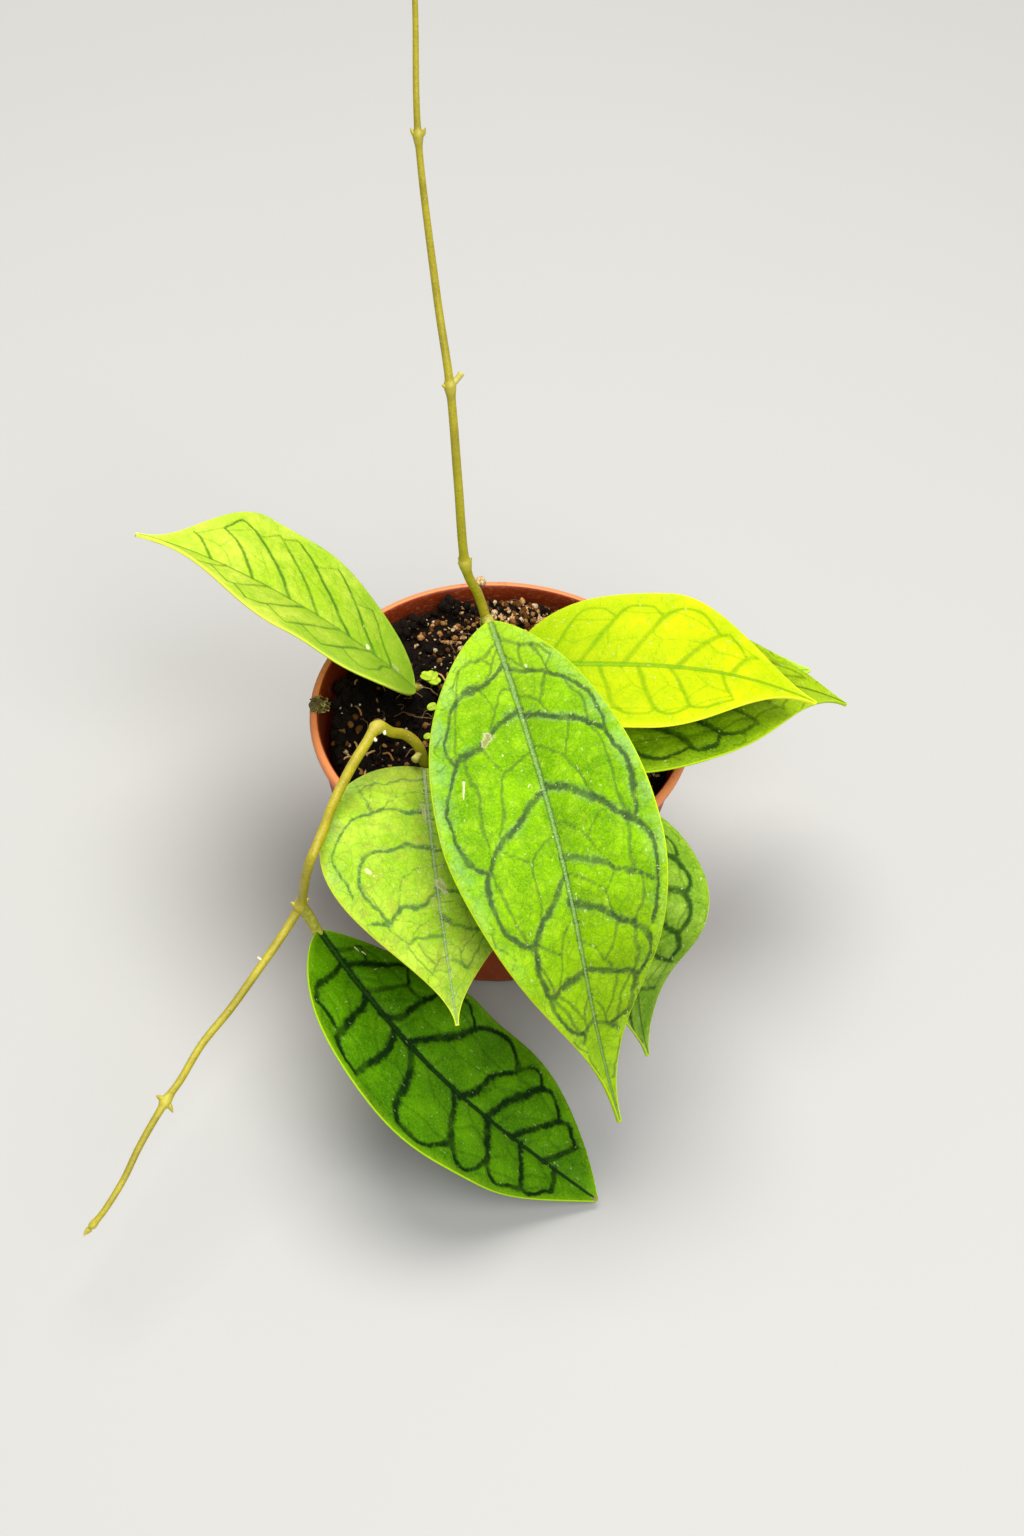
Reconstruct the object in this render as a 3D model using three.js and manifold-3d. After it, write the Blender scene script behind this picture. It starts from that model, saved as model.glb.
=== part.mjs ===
// A young wax vine, Hoya callistophylla, in a round plastic grower pot.
// Millimetres, +Z up. The origin is the centre of the pot's foot, and -Y is the front.
import * as THREE from "three";
import { mergeVertices } from "three/addons/utils/BufferGeometryUtils.js";
import Module from "manifold-3d";

const wasm = await Module();
wasm.setup();
const { Manifold, Mesh } = wasm;

const TURN = 2 * Math.PI;
const UP = new THREE.Vector3(0, 0, 1);
const GAP = 0.3; // clearance between pieces that touch on the real plant

// Pot
const RIM_RADIUS = 52.5;
const FOOT_RADIUS = 39.4;
const POT_HEIGHT = 70;
const WALL = 1.2;
const FLOOR = 1.6;
const LIP_HEIGHT = 3.2;
const LIP_DEPTH = 2.5; // how far the rolled lip stands across, outside and inside
const DRAIN_HOLES = 8;
const DRAIN_RADIUS = 3;
const DRAIN_CIRCLE = 29;

// Soil
const SOIL_LEVEL = 62;
const SOIL_RINGS = 13;
const SOIL_SIDES = 60;
const HEAP = { at: [10, 40], height: 3.6, reach: 27 };
const HOLLOW = { at: [-28, -26], height: -2.5, reach: 18 };
const BANK = { height: 2.8, start: 36, rise: 10, towards: (140 / 360) * TURN }; // at the wall
const SHRINK = { depth: 2.2, towards: (215 / 360) * TURN }; // soil drawn back from the wall
const CRUMBS = 150;
const CRUMB_RADIUS = [1.8, 3.6];
const SEED = 7;

// Leaf blades: a grid of quads on a midrib, with the same diagonals on both faces
const BLADE = 0.9;
const KEEL = 0.8; // how far the midrib stands out underneath
const LEAF_ROWS = 20;
const LEAF_COLUMNS = 4; // on each side of the midrib
const BLUNT = 0.5; // half width left at the base and the tip

// Each midrib is a Bezier curve from the base to the tip. Pairs give the left and right side,
// seen from above with the tip pointing away, or the base and the tip. fullness rounds the
// base (low) or points it (high), and draw pulls the tip out. Angles are in degrees.
const LEAVES = {
  leaf_front: {
    midrib: [[-4.5, 6.5, 98], [26, -99.5, 104], [20.5, -88, 84], [38, -103.5, 28]],
    halfWidth: [26.5, 29.5], widest: [0.5, 0.45], fullness: 0.78, draw: 2.1,
    fold: [19, 19], roll: [-12, -6], curl: 12, wave: 0.7, waves: 3,
    petiole: [[-5.5, 11, 93], [-5.2, 8.8, 96]], petioleRadius: 1.8, colour: 0x63a51a,
  },
  leaf_left: {
    midrib: [[-24.5, 10.5, 66.5], [-45, 13.5, 88], [-80.5, 19.5, 106], [-99.5, 13.5, 115]],
    halfWidth: [29.5, 30.5], widest: [0.55, 0.6], fullness: 0.6, draw: 2.3,
    fold: [13, 13], roll: [-20, -16], curl: 6, wave: 0.6, waves: 2.5,
    petiole: [[-25, 14.5, 50], [-25, 14.2, 58], [-24.2, 12.6, 64]], petioleRadius: 1.5,
    colour: 0x8cc63a,
  },
  leaf_right_upper: {
    midrib: [[2, 2, 88], [28, -8, 98], [55, 1.5, 97], [84.5, -3, 85]],
    halfWidth: [22, 22], widest: [0.52, 0.44], fullness: 0.44, draw: 1.9,
    fold: [13, 12], roll: [-17, -3], curl: 8, wave: 0.5, waves: 2,
    petiole: [[-4, 10, 81], [-2.2, 7, 83.5], [-0.4, 4, 86]], petioleRadius: 1.5,
    colour: 0xc6e81c,
  },
  leaf_right_middle: {
    midrib: [[10.5, -8.5, 79], [36, -12, 91], [67, 12, 87], [96.5, 19, 63]],
    halfWidth: [28, 27.5], widest: [0.37, 0.33], fullness: 0.53, draw: 1.6,
    fold: [10, 10], roll: [-11, 2], curl: 8, wave: 0.6, waves: 2.5,
    petiole: [[9, -12, 68], [8.4, -11, 72.5], [8.6, -9.4, 76.5]], petioleRadius: 1.5,
    colour: 0x5a9a22,
  },
  leaf_right_back: {
    midrib: [[11, -5.5, 68], [34.5, -3, 79], [60.5, 15.5, 76], [86, 27.5, 67]],
    halfWidth: [24.5, 24.5], widest: [0.43, 0.43], fullness: 0.55, draw: 1.3,
    fold: [9, 8], roll: [-8, -10], curl: 8, wave: 0.4, waves: 2,
    petiole: [[7.6, -9.4, 63], [8, -8, 65.6], [9.2, -6.4, 67.2]], petioleRadius: 1.4,
    colour: 0x77b22e,
  },
  leaf_front_left: {
    midrib: [[-19.5, -27, 75], [-14, -67.5, 82], [-13, -72, 80], [-5.5, -98.5, 58]],
    halfWidth: [30, 30], widest: [0.46, 0.46], fullness: 0.55, draw: 1.9,
    fold: [8, 9], roll: [10, 7], curl: 10, wave: 0.8, waves: 2.5,
    petiole: [[-16.6, -22.6, 70], [-18, -23.6, 72.6]], petioleRadius: 1.6, colour: 0x86bb38,
  },
  leaf_low: {
    midrib: [[-43.5, -67.5, 54], [-13.5, -105.5, 46], [-3, -95, 20], [34, -111.5, 3]],
    halfWidth: [26.5, 25.5], widest: [0.59, 0.45], fullness: 0.78, draw: 1.05,
    fold: [10, 10], roll: [20, -6], curl: 8, wave: 0.7, waves: 3,
    petiole: [[-48.6, -66.1, 62], [-46.6, -66, 58]], petioleRadius: 1.7, colour: 0x2f7a1c,
  },
  leaf_front_right: {
    midrib: [[24.5, -35.5, 80], [45.5, -75.5, 92], [32.5, -81.5, 80], [44.5, -87.5, 36]],
    halfWidth: [19.5, 18.5], widest: [0.4, 0.36], fullness: 0.59, draw: 1.55,
    fold: [10, 10], roll: [24, 4], curl: 10, wave: 0.6, waves: 2.5,
    petiole: [[20, -28, 75], [21, -30, 76.4], [22.6, -32.6, 78.4]], petioleRadius: 1.5,
    colour: 0x4f9a20,
  },
};

// Each stem runs from its foot in the soil to its tip. nodes are the numbers of the route
// points where it swells, and buds and stubs grow from it.
const STEMS = {
  stem_climbing: {
    route: [
      [0, 8, 40], [-1, 8.5, 60], [-4, 10, 81], [-5.5, 11, 93], [-8.2, 11.4, 103],
      [-12.1, 12, 113.5], [-15, 16, 139], [-18.2, 23.1, 164], [-23, 34.5, 185],
      [-29.1, 47.2, 221], [-31.3, 59.3, 251], [-34, 68, 276], [-37.5, 74, 297],
    ],
    radius: [1.6, 1.15, 0.5], nodes: [2, 3, 5, 7, 9, 11], swell: 0.5, colour: 0x8a8a1e,
    buds: [
      { at: 5, towards: [1, -0.3, 0.8] }, { at: 5, towards: [-1, 0.3, 0.8] },
      { at: 9, towards: [1, -0.2, 1] }, { at: 11, towards: [-1, 0, 1.2] },
      { at: 12, towards: [0.3, 0.2, 1] },
    ],
    stubs: [{ from: [-18.2, 23.1, 164], to: [-15.3, 25.6, 166.3], radius: 0.9 }],
  },
  stem_trailing: {
    route: [
      [-8, -14, 42], [-9.5, -16, 60], [-16.6, -22.6, 70], [-19.3, -25.1, 74.5],
      [-20.6, -24.6, 79], [-22.4, -24.1, 82], [-25.1, -23.8, 84], [-28.2, -25.2, 86],
      [-31.9, -26.7, 89.3], [-34.5, -32.9, 89.1], [-37.1, -39.8, 88.8], [-39, -46.4, 88.9],
      [-41.1, -54.4, 88.7], [-42.4, -62.4, 89.2], [-43.8, -68.6, 88.7], [-45.2, -71.1, 85.7],
      [-46.5, -70.2, 78.6], [-48.6, -66.1, 62], [-52.8, -73.5, 57.5], [-57.7, -81.6, 54],
      [-63.8, -91.7, 50], [-70.1, -101.4, 47], [-74.3, -110.9, 44.5], [-77.4, -116.8, 43],
      [-82.4, -127.4, 39], [-85.7, -135.4, 35], [-89.3, -142.3, 32], [-92.9, -146.7, 29],
    ],
    radius: [1.7, 1.35, 0.85], nodes: [2, 8, 17, 23, 27], swell: 0.55, colour: 0x93942a,
    buds: [
      { at: 23, towards: [0.5, -0.6, -0.7] }, { at: 17, towards: [0.9, 0.5, 0.4] },
      { at: 27, towards: [-0.4, -0.5, -0.2] },
    ],
    stubs: [{ from: [-20.6, -24.6, 78.6], to: [-22, -28.4, 79.2], radius: 1.2 }],
  },
  stem_short: {
    route: [
      [7, -8, 42], [7.6, -9.4, 63], [9, -12, 68], [14, -20, 72.5], [20, -28, 75],
      [22.6, -31.4, 74.4],
    ],
    radius: [1.5, 1.3, 0.7], nodes: [2, 4], swell: 0.5, colour: 0x85872a,
    buds: [{ at: 5, towards: [0.5, -0.7, 0.2] }],
    stubs: [],
  },
};
const STEM_SIDES = 8;
const STEM_STEP = 5.5;
const ROD_STEP = 3;
const SWELL_REACH = 1.9;
const BUD = { radius: 0.8, length: 3.2 };

// Seedlings in the soil: a thread of a stalk with small round leaflets at its top
const SEEDLINGS = {
  seedling_clover: {
    foot: [-20, 16.5, 58], top: [-20.4, 15.6, 65.6],
    leaflets: [[-1.3, 0.4, 0.3], [0.3, 1, 0.1], [1.1, -0.7, -0.2]], radius: 1.7,
  },
  seedling_round: {
    foot: [-18.6, 6.4, 58], top: [-19.2, 5.6, 64.4], leaflets: [[0, 0, 0.2]], radius: 1.5,
  },
  seedling_small: {
    foot: [-19.6, -4, 57], top: [-19.8, -4.2, 62.8], leaflets: [[0, 0, 0.2]], radius: 1.1,
  },
};
const STALK_RADIUS = 0.45;

// Crumbs of the mix that lie on the rolled lip
const LIP_CRUMBS = {
  grit_on_rim: { at: [-8.6, 50.2], size: [1.9, 1.5, 1.3], colour: 0xcaa274 },
  fibre_on_rim: { at: [-50.6, -2.6], size: [3.4, 2.1, 1.1], colour: 0x4a3518 },
};

const vector = (p) => new THREE.Vector3(...p);
const mix = THREE.MathUtils.lerp;
const radians = THREE.MathUtils.degToRad;

function seededRandom(seed) {
  let state = seed;
  return () => {
    state = (state * 16807) % 2147483647;
    return state / 2147483647;
  };
}

// A closed geometry as a solid. Triangles that shrank to a line at a pole are dropped.
function solidOf(geometry) {
  const bare = new THREE.BufferGeometry();
  bare.setAttribute("position", geometry.getAttribute("position"));
  bare.setIndex(geometry.getIndex());
  const merged = mergeVertices(bare, 1e-3);
  const corners = merged.index.array;
  const kept = [];
  for (let i = 0; i < corners.length; i += 3) {
    const [a, b, c] = corners.slice(i, i + 3);
    if (a !== b && b !== c && c !== a) kept.push(a, b, c);
  }
  return new Manifold(new Mesh({
    numProp: 3,
    vertProperties: merged.attributes.position.array,
    triVerts: new Uint32Array(kept),
  }));
}

function meshOf(name, solid, colour, roughness) {
  const cut = solid.getMesh();
  const points = new Float32Array(cut.numVert * 3);
  for (let i = 0; i < cut.numVert; i++) {
    points.set(cut.vertProperties.subarray(i * cut.numProp, i * cut.numProp + 3), i * 3);
  }
  const geometry = new THREE.BufferGeometry();
  geometry.setAttribute("position", new THREE.BufferAttribute(points, 3));
  geometry.setIndex(new THREE.BufferAttribute(cut.triVerts, 1));
  geometry.computeVertexNormals();
  const material = new THREE.MeshStandardMaterial({ color: colour, roughness, metalness: 0 });
  const mesh = new THREE.Mesh(geometry, material);
  mesh.name = name;
  return mesh;
}

// A turned shape that stands up along +Z.
function turned(profile, sides) {
  const points = profile.map(([radius, height]) => new THREE.Vector2(radius, height));
  return new THREE.LatheGeometry(points, sides).rotateX(Math.PI / 2);
}

// A turned shape that is bent along a curve: its height becomes the distance along it.
function bent(curve, profile, sides) {
  const STEPS = 200;
  const length = curve.getLength();
  const frames = curve.computeFrenetFrames(STEPS);
  const geometry = turned(profile, sides);
  const position = geometry.getAttribute("position");
  for (let i = 0; i < position.count; i++) {
    const along = position.getZ(i);
    const part = THREE.MathUtils.clamp(along / length, 0, 1);
    const k = Math.round(part * STEPS);
    const place = curve.getPointAt(part)
      .addScaledVector(frames.tangents[k], along - part * length)
      .addScaledVector(frames.normals[k], position.getX(i))
      .addScaledVector(frames.binormals[k], position.getY(i));
    position.setXYZ(i, place.x, place.y, place.z);
  }
  return geometry;
}

function smoothCurve(route) {
  const curve = new THREE.CatmullRomCurve3(route.map(vector), false, "catmullrom", 0.5);
  curve.arcLengthDivisions = 400;
  return curve;
}

// A round rod along a route, with one radius all the way. grow widens it and lengthens its ends.
function rod(route, radius, sides = STEM_SIDES, grow = 0) {
  const curve = smoothCurve(route);
  const length = curve.getLength();
  const steps = Math.max(2, Math.round(length / ROD_STEP));
  const profile = [[0, -grow]];
  for (let i = 0; i <= steps; i++) {
    profile.push([radius + grow, mix(-grow, length + grow, i / steps)]);
  }
  profile.push([0, length + grow]);
  return solidOf(bent(curve, profile, sides));
}

function largestBody(solid) {
  return solid.decompose().sort((a, b) => b.volume() - a.volume())[0];
}

// Stems

// The distance along a curve at which it comes nearest to one of its route points.
function distanceAt(curve, point) {
  const SAMPLES = 600;
  let best = 0;
  let nearest = Infinity;
  for (let i = 0; i <= SAMPLES; i++) {
    const d = curve.getPointAt(i / SAMPLES).distanceTo(point);
    if (d < nearest) {
      nearest = d;
      best = i / SAMPLES;
    }
  }
  return best * curve.getLength();
}

function stemCore(stem, extra) {
  const curve = smoothCurve(stem.route);
  const length = curve.getLength();
  const swellings = stem.nodes.map((n) => distanceAt(curve, vector(stem.route[n])));
  const [foot, middle, tip] = stem.radius;
  const radiusAt = (along) => {
    const part = along / length;
    const plain = part < 0.5 ? mix(foot, middle, part * 2) : mix(middle, tip, part * 2 - 1);
    const swollen = swellings.map((at) => stem.swell * Math.exp(-(((along - at) / SWELL_REACH) ** 2)));
    return plain + Math.max(0, ...swollen) + extra;
  };
  const stations = new Set(swellings.filter((at) => at < length - 1));
  const steps = Math.round(length / STEM_STEP);
  for (let i = 0; i <= steps; i++) {
    const along = (i / steps) * length;
    const clear = swellings.every((at) => Math.abs(at - along) > 1.2 || at >= length - 1);
    if (clear || i === 0 || i === steps) stations.add(along);
  }
  for (const at of swellings) {
    for (const side of [-2, 2]) {
      const along = at + side;
      const clear = [...stations].every((s) => Math.abs(s - along) > 0.9);
      if (clear && along > 0 && along < length) stations.add(along);
    }
  }
  const profile = [[0, -extra]];
  for (const along of [...stations].sort((a, b) => a - b)) {
    const end = along === 0 ? -extra : along === length ? extra : 0;
    profile.push([radiusAt(along), along + end]);
  }
  profile.push([0, length + extra]);
  return solidOf(bent(curve, profile, STEM_SIDES));
}

// A pointed scale that grows out of a stem.
function budSolid(at, towards) {
  const direction = vector(towards).normalize();
  const cone = new THREE.ConeGeometry(BUD.radius, BUD.length, 6);
  cone.translate(0, BUD.length / 2, 0);
  cone.applyQuaternion(new THREE.Quaternion().setFromUnitVectors(new THREE.Vector3(0, 1, 0), direction));
  cone.translate(at.x, at.y, at.z);
  return solidOf(cone);
}

function stemSolid(stem, extra = 0) {
  const parts = [stemCore(stem, extra)];
  for (const bud of stem.buds) parts.push(budSolid(vector(stem.route[bud.at]), bud.towards));
  for (const stub of stem.stubs) parts.push(rod([stub.from, stub.to], stub.radius, 7, extra));
  return Manifold.union(parts);
}

// Leaves

// The leaf's outline: 0 at the base, 1 where it is widest, 0 again at the drawn-out tip.
function outline(t, widest, fullness, draw) {
  if (t < widest) return (1 - (1 - t / widest) ** 2) ** fullness;
  const past = (t - widest) / (1 - widest);
  return (1 - past) ** draw * (1 + draw * past);
}

// A point of the upper face: t runs from base to tip, s from -1 at the left edge to 1.
function bladePoint(leaf, curve, t, s) {
  const side = s < 0 ? 0 : 1;
  const across = Math.abs(s);
  const along = curve.getTangentAt(t);
  const level = new THREE.Vector3().crossVectors(along, UP).normalize();
  const raised = new THREE.Vector3().crossVectors(level, along);
  const roll = radians(mix(...leaf.roll, t));
  const sideways = level.clone().multiplyScalar(Math.cos(roll)).addScaledVector(raised, Math.sin(roll));
  const normal = raised.clone().multiplyScalar(Math.cos(roll)).addScaledVector(level, -Math.sin(roll));
  const shape = outline(t, leaf.widest[side], leaf.fullness, leaf.draw);
  const reach = (BLUNT + (leaf.halfWidth[side] - BLUNT) * shape) * across;
  const tilt = radians(leaf.fold[side] - (leaf.curl * across) / 2);
  const ripple = Math.sin(TURN * (leaf.waves * t + 0.37 * side)) * Math.sin(Math.PI * t);
  return curve.getPointAt(t)
    .addScaledVector(sideways, (side ? 1 : -1) * reach * Math.cos(tilt))
    .addScaledVector(normal, reach * Math.sin(tilt) + leaf.wave * across ** 2 * ripple);
}

function bladeNormal(leaf, curve, t, s) {
  const STEP = 0.02;
  const clamp = THREE.MathUtils.clamp;
  const ahead = bladePoint(leaf, curve, clamp(t + STEP, 0, 1), s);
  const behind = bladePoint(leaf, curve, clamp(t - STEP, 0, 1), s);
  const right = bladePoint(leaf, curve, t, clamp(s + STEP, -1, 1));
  const left = bladePoint(leaf, curve, t, clamp(s - STEP, -1, 1));
  return right.sub(left).cross(ahead.sub(behind)).normalize();
}

// Rows stand closer together towards the base and the tip, where the outline turns.
function rowPlace(row) {
  const even = row / LEAF_ROWS;
  return mix(even, (1 - Math.cos(Math.PI * even)) / 2, 0.6);
}

function bladeSolid(leaf, curve) {
  const columns = 2 * LEAF_COLUMNS;
  const upper = [];
  const lower = [];
  for (let row = 0; row <= LEAF_ROWS; row++) {
    const t = rowPlace(row);
    for (let column = 0; column <= columns; column++) {
      const s = column / LEAF_COLUMNS - 1;
      const point = bladePoint(leaf, curve, t, s);
      const rib = KEEL * Math.max(0, 1 - Math.abs(s) * LEAF_COLUMNS) * (1 - t) ** 0.5;
      const under = point.clone().addScaledVector(bladeNormal(leaf, curve, t, s), -BLADE - rib);
      upper.push(point.x, point.y, point.z);
      lower.push(under.x, under.y, under.z);
    }
  }
  const below = upper.length / 3;
  const index = (row, column) => row * (columns + 1) + column;
  const faces = [];
  for (let row = 0; row < LEAF_ROWS; row++) {
    for (let column = 0; column < columns; column++) {
      const [a, b] = [index(row, column), index(row, column + 1)];
      const [c, d] = [index(row + 1, column + 1), index(row + 1, column)];
      faces.push(a, b, c, a, c, d);
      faces.push(below + a, below + c, below + b, below + a, below + d, below + c);
    }
  }
  const wall = (from, to) => faces.push(from, below + from, to, to, below + from, below + to);
  for (let column = 0; column < columns; column++) {
    wall(index(0, column), index(0, column + 1));
    wall(index(LEAF_ROWS, column + 1), index(LEAF_ROWS, column));
  }
  for (let row = 0; row < LEAF_ROWS; row++) {
    wall(index(row + 1, 0), index(row, 0));
    wall(index(row, columns), index(row + 1, columns));
  }
  const geometry = new THREE.BufferGeometry();
  geometry.setAttribute("position", new THREE.Float32BufferAttribute([...upper, ...lower], 3));
  geometry.setIndex(faces);
  return solidOf(geometry);
}

// The petiole runs on under the blade for a short way, so that the two are one body.
function petioleRoute(leaf, curve) {
  const inside = [0.015, 0.05].map((t) => {
    const sunk = leaf.petioleRadius * 0.75 + BLADE / 2;
    return curve.getPointAt(t).addScaledVector(bladeNormal(leaf, curve, t, 0), -sunk).toArray();
  });
  return [...leaf.petiole, ...inside];
}

function leafSolids(leaf) {
  const curve = new THREE.CubicBezierCurve3(...leaf.midrib.map(vector));
  const route = petioleRoute(leaf, curve);
  return {
    whole: bladeSolid(leaf, curve).add(rod(route, leaf.petioleRadius)),
    socket: rod(route, leaf.petioleRadius, STEM_SIDES, GAP),
  };
}

// Pot

function potSolid() {
  const slope = (RIM_RADIUS - 1.9 - FOOT_RADIUS) / (POT_HEIGHT - LIP_HEIGHT);
  const outer = (height) => FOOT_RADIUS + slope * height;
  const neck = POT_HEIGHT - LIP_HEIGHT;
  const lipInside = RIM_RADIUS - LIP_DEPTH;
  const profile = [
    [0, 0], [outer(0) - 1.5, 0], [outer(0) - 0.4, 0.4], [outer(1.5), 1.5], [outer(35), 35],
    [outer(neck), neck], [RIM_RADIUS - 0.5, neck + 0.4], [RIM_RADIUS, neck + 1.3],
    [RIM_RADIUS - 0.1, POT_HEIGHT - 0.7], [RIM_RADIUS - 0.8, POT_HEIGHT],
    [lipInside + 0.5, POT_HEIGHT], [lipInside, POT_HEIGHT - 0.7], [lipInside - 0.3, neck],
    [outer(35) - WALL, 35], [outer(3) - WALL, 3], [outer(FLOOR) - WALL - 1.2, FLOOR], [0, FLOOR],
  ];
  const drains = [];
  for (let i = 0; i < DRAIN_HOLES; i++) {
    const turn = (i / DRAIN_HOLES) * TURN;
    const hole = turned([[0, -1], [DRAIN_RADIUS, -1], [DRAIN_RADIUS, FLOOR + 1], [0, FLOOR + 1]], 12);
    hole.translate(DRAIN_CIRCLE * Math.cos(turn), DRAIN_CIRCLE * Math.sin(turn), 0);
    drains.push(solidOf(hole));
  }
  return solidOf(turned(profile, 60)).subtract(Manifold.union(drains));
}

// Soil

const crumbs = (() => {
  const random = seededRandom(SEED);
  return Array.from({ length: CRUMBS }, () => {
    const turn = random() * TURN;
    const out = Math.sqrt(random()) * (RIM_RADIUS - 6);
    const radius = mix(...CRUMB_RADIUS, random() ** 2);
    return { x: out * Math.cos(turn), y: out * Math.sin(turn), radius };
  });
})();

function mound({ at, height, reach }, x, y) {
  return height * Math.exp(-((x - at[0]) ** 2 + (y - at[1]) ** 2) / reach ** 2);
}

function bank(x, y) {
  const part = THREE.MathUtils.clamp((Math.hypot(x, y) - BANK.start) / BANK.rise, 0, 1);
  return BANK.height * part * Math.sqrt(Math.max(0, Math.cos(Math.atan2(y, x) - BANK.towards)));
}

function soilHeight(x, y) {
  let crumb = 0;
  for (const c of crumbs) {
    const d = Math.hypot(x - c.x, y - c.y);
    if (d < c.radius) crumb = Math.max(crumb, Math.sqrt(c.radius ** 2 - d ** 2) * 0.8);
  }
  return SOIL_LEVEL + mound(HEAP, x, y) + mound(HOLLOW, x, y) + bank(x, y) + crumb - 0.8;
}

function soilBlock() {
  const side = (height) => FOOT_RADIUS - WALL - GAP + (height / POT_HEIGHT) * 11.6;
  const edge = SOIL_LEVEL - 4;
  const bottom = FLOOR + GAP;
  const profile = [[0, bottom], [side(0) - 1, bottom], [side(3.2) - 0.2, 3.2], [side(35), 35]];
  profile.push([side(edge), edge]);
  for (let ring = SOIL_RINGS; ring >= 0; ring--) {
    profile.push([(ring / SOIL_RINGS) * (side(edge) - 0.2), SOIL_LEVEL]);
  }
  const geometry = turned(profile, SOIL_SIDES);
  const position = geometry.getAttribute("position");
  for (let i = 0; i < position.count; i++) {
    if (position.getZ(i) < SOIL_LEVEL - 0.01) continue;
    const [x, y] = [position.getX(i), position.getY(i)];
    const out = Math.hypot(x, y);
    const towards = Math.max(0, Math.cos(Math.atan2(y, x) - SHRINK.towards + TURN)) ** 3;
    const keep = 1 - (SHRINK.depth * towards * (out / RIM_RADIUS) ** 4) / RIM_RADIUS;
    position.setXYZ(i, x * keep, y * keep, soilHeight(x, y));
  }
  return solidOf(geometry);
}

// Small things on the soil and the lip

function seedlingSolids({ foot, top, leaflets, radius }) {
  const stalk = (grow) => rod([foot, top], STALK_RADIUS, 6, grow);
  const parts = [stalk(0)];
  for (const [x, y, z] of leaflets) {
    const leaflet = new THREE.SphereGeometry(radius, 8, 5).rotateX(Math.PI / 2);
    leaflet.scale(1, 0.8, 0.34);
    leaflet.translate(top[0] + x, top[1] + y, top[2] + z);
    parts.push(solidOf(leaflet));
  }
  return { whole: Manifold.union(parts), socket: stalk(GAP) };
}

function crumbSolid({ at, size }) {
  const crumb = new THREE.IcosahedronGeometry(1, 1).scale(...size);
  crumb.rotateZ(Math.atan2(at[1], at[0]));
  const flat = POT_HEIGHT + GAP;
  crumb.translate(...at, flat + size[2] * 0.6);
  return solidOf(crumb).trimByPlane([0, 0, 1], flat);
}

// The whole plant

const plant = new THREE.Group();
plant.name = "potted_hoya";
const sockets = []; // what the soil leaves free round each foot

plant.add(meshOf("pot", potSolid(), 0xc4623a, 0.5));

for (const [name, stem] of Object.entries(STEMS)) {
  plant.add(meshOf(name, stemSolid(stem), stem.colour, 0.55));
  sockets.push(stemCore(stem, GAP));
}

const roomForStems = Manifold.union(Object.values(STEMS).map((stem) => stemSolid(stem, GAP)));
for (const [name, leaf] of Object.entries(LEAVES)) {
  const { whole, socket } = leafSolids(leaf);
  plant.add(meshOf(name, largestBody(whole.subtract(roomForStems)), leaf.colour, 0.4));
  sockets.push(socket);
}

for (const [name, seedling] of Object.entries(SEEDLINGS)) {
  const { whole, socket } = seedlingSolids(seedling);
  plant.add(meshOf(name, whole, 0xb5d42a, 0.5));
  sockets.push(socket);
}

for (const [name, crumb] of Object.entries(LIP_CRUMBS)) {
  plant.add(meshOf(name, crumbSolid(crumb), crumb.colour, 0.95));
}

const soil = soilBlock().subtract(Manifold.union(sockets));
plant.add(meshOf("soil", largestBody(soil), 0x2a1c12, 1));

export default plant;
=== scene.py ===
"""A young wax vine, Hoya callistophylla, in a round plastic grower pot.

Laid out as a Blender add-on and run as a script. Lengths in the tables are millimetres,
and Blender gets metres. The pot stands on z = 0, and -Y is the front.
"""
import math
import random

import bpy
import numpy as np
from bpy.props import FloatProperty, FloatVectorProperty, IntProperty, PointerProperty
from mathutils import Matrix, Vector, noise


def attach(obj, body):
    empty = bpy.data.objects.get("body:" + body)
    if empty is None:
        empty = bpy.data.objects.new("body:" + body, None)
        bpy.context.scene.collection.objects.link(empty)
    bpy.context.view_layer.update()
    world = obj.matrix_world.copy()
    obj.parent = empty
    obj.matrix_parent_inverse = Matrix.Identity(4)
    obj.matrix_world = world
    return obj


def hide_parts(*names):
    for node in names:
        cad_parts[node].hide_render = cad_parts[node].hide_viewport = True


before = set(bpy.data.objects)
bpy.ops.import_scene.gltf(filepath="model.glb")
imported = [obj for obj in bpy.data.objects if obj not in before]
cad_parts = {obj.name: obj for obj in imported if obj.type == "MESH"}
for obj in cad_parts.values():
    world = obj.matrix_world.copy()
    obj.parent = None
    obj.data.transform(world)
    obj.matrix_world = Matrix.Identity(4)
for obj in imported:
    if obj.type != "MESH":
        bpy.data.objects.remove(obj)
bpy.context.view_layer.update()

bl_info = {
    "name": "Potted wax vine",
    "version": (1, 0, 0),
    "blender": (4, 5, 0),
    "location": "View3D > Sidebar > Wax vine",
    "description": "Builds a young Hoya callistophylla in a plastic grower pot",
    "category": "Object",
}

MM = 0.001
TURN = 2 * math.pi
FLAT = 0.01  # one millimetre of the flat blade in its UV map

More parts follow.
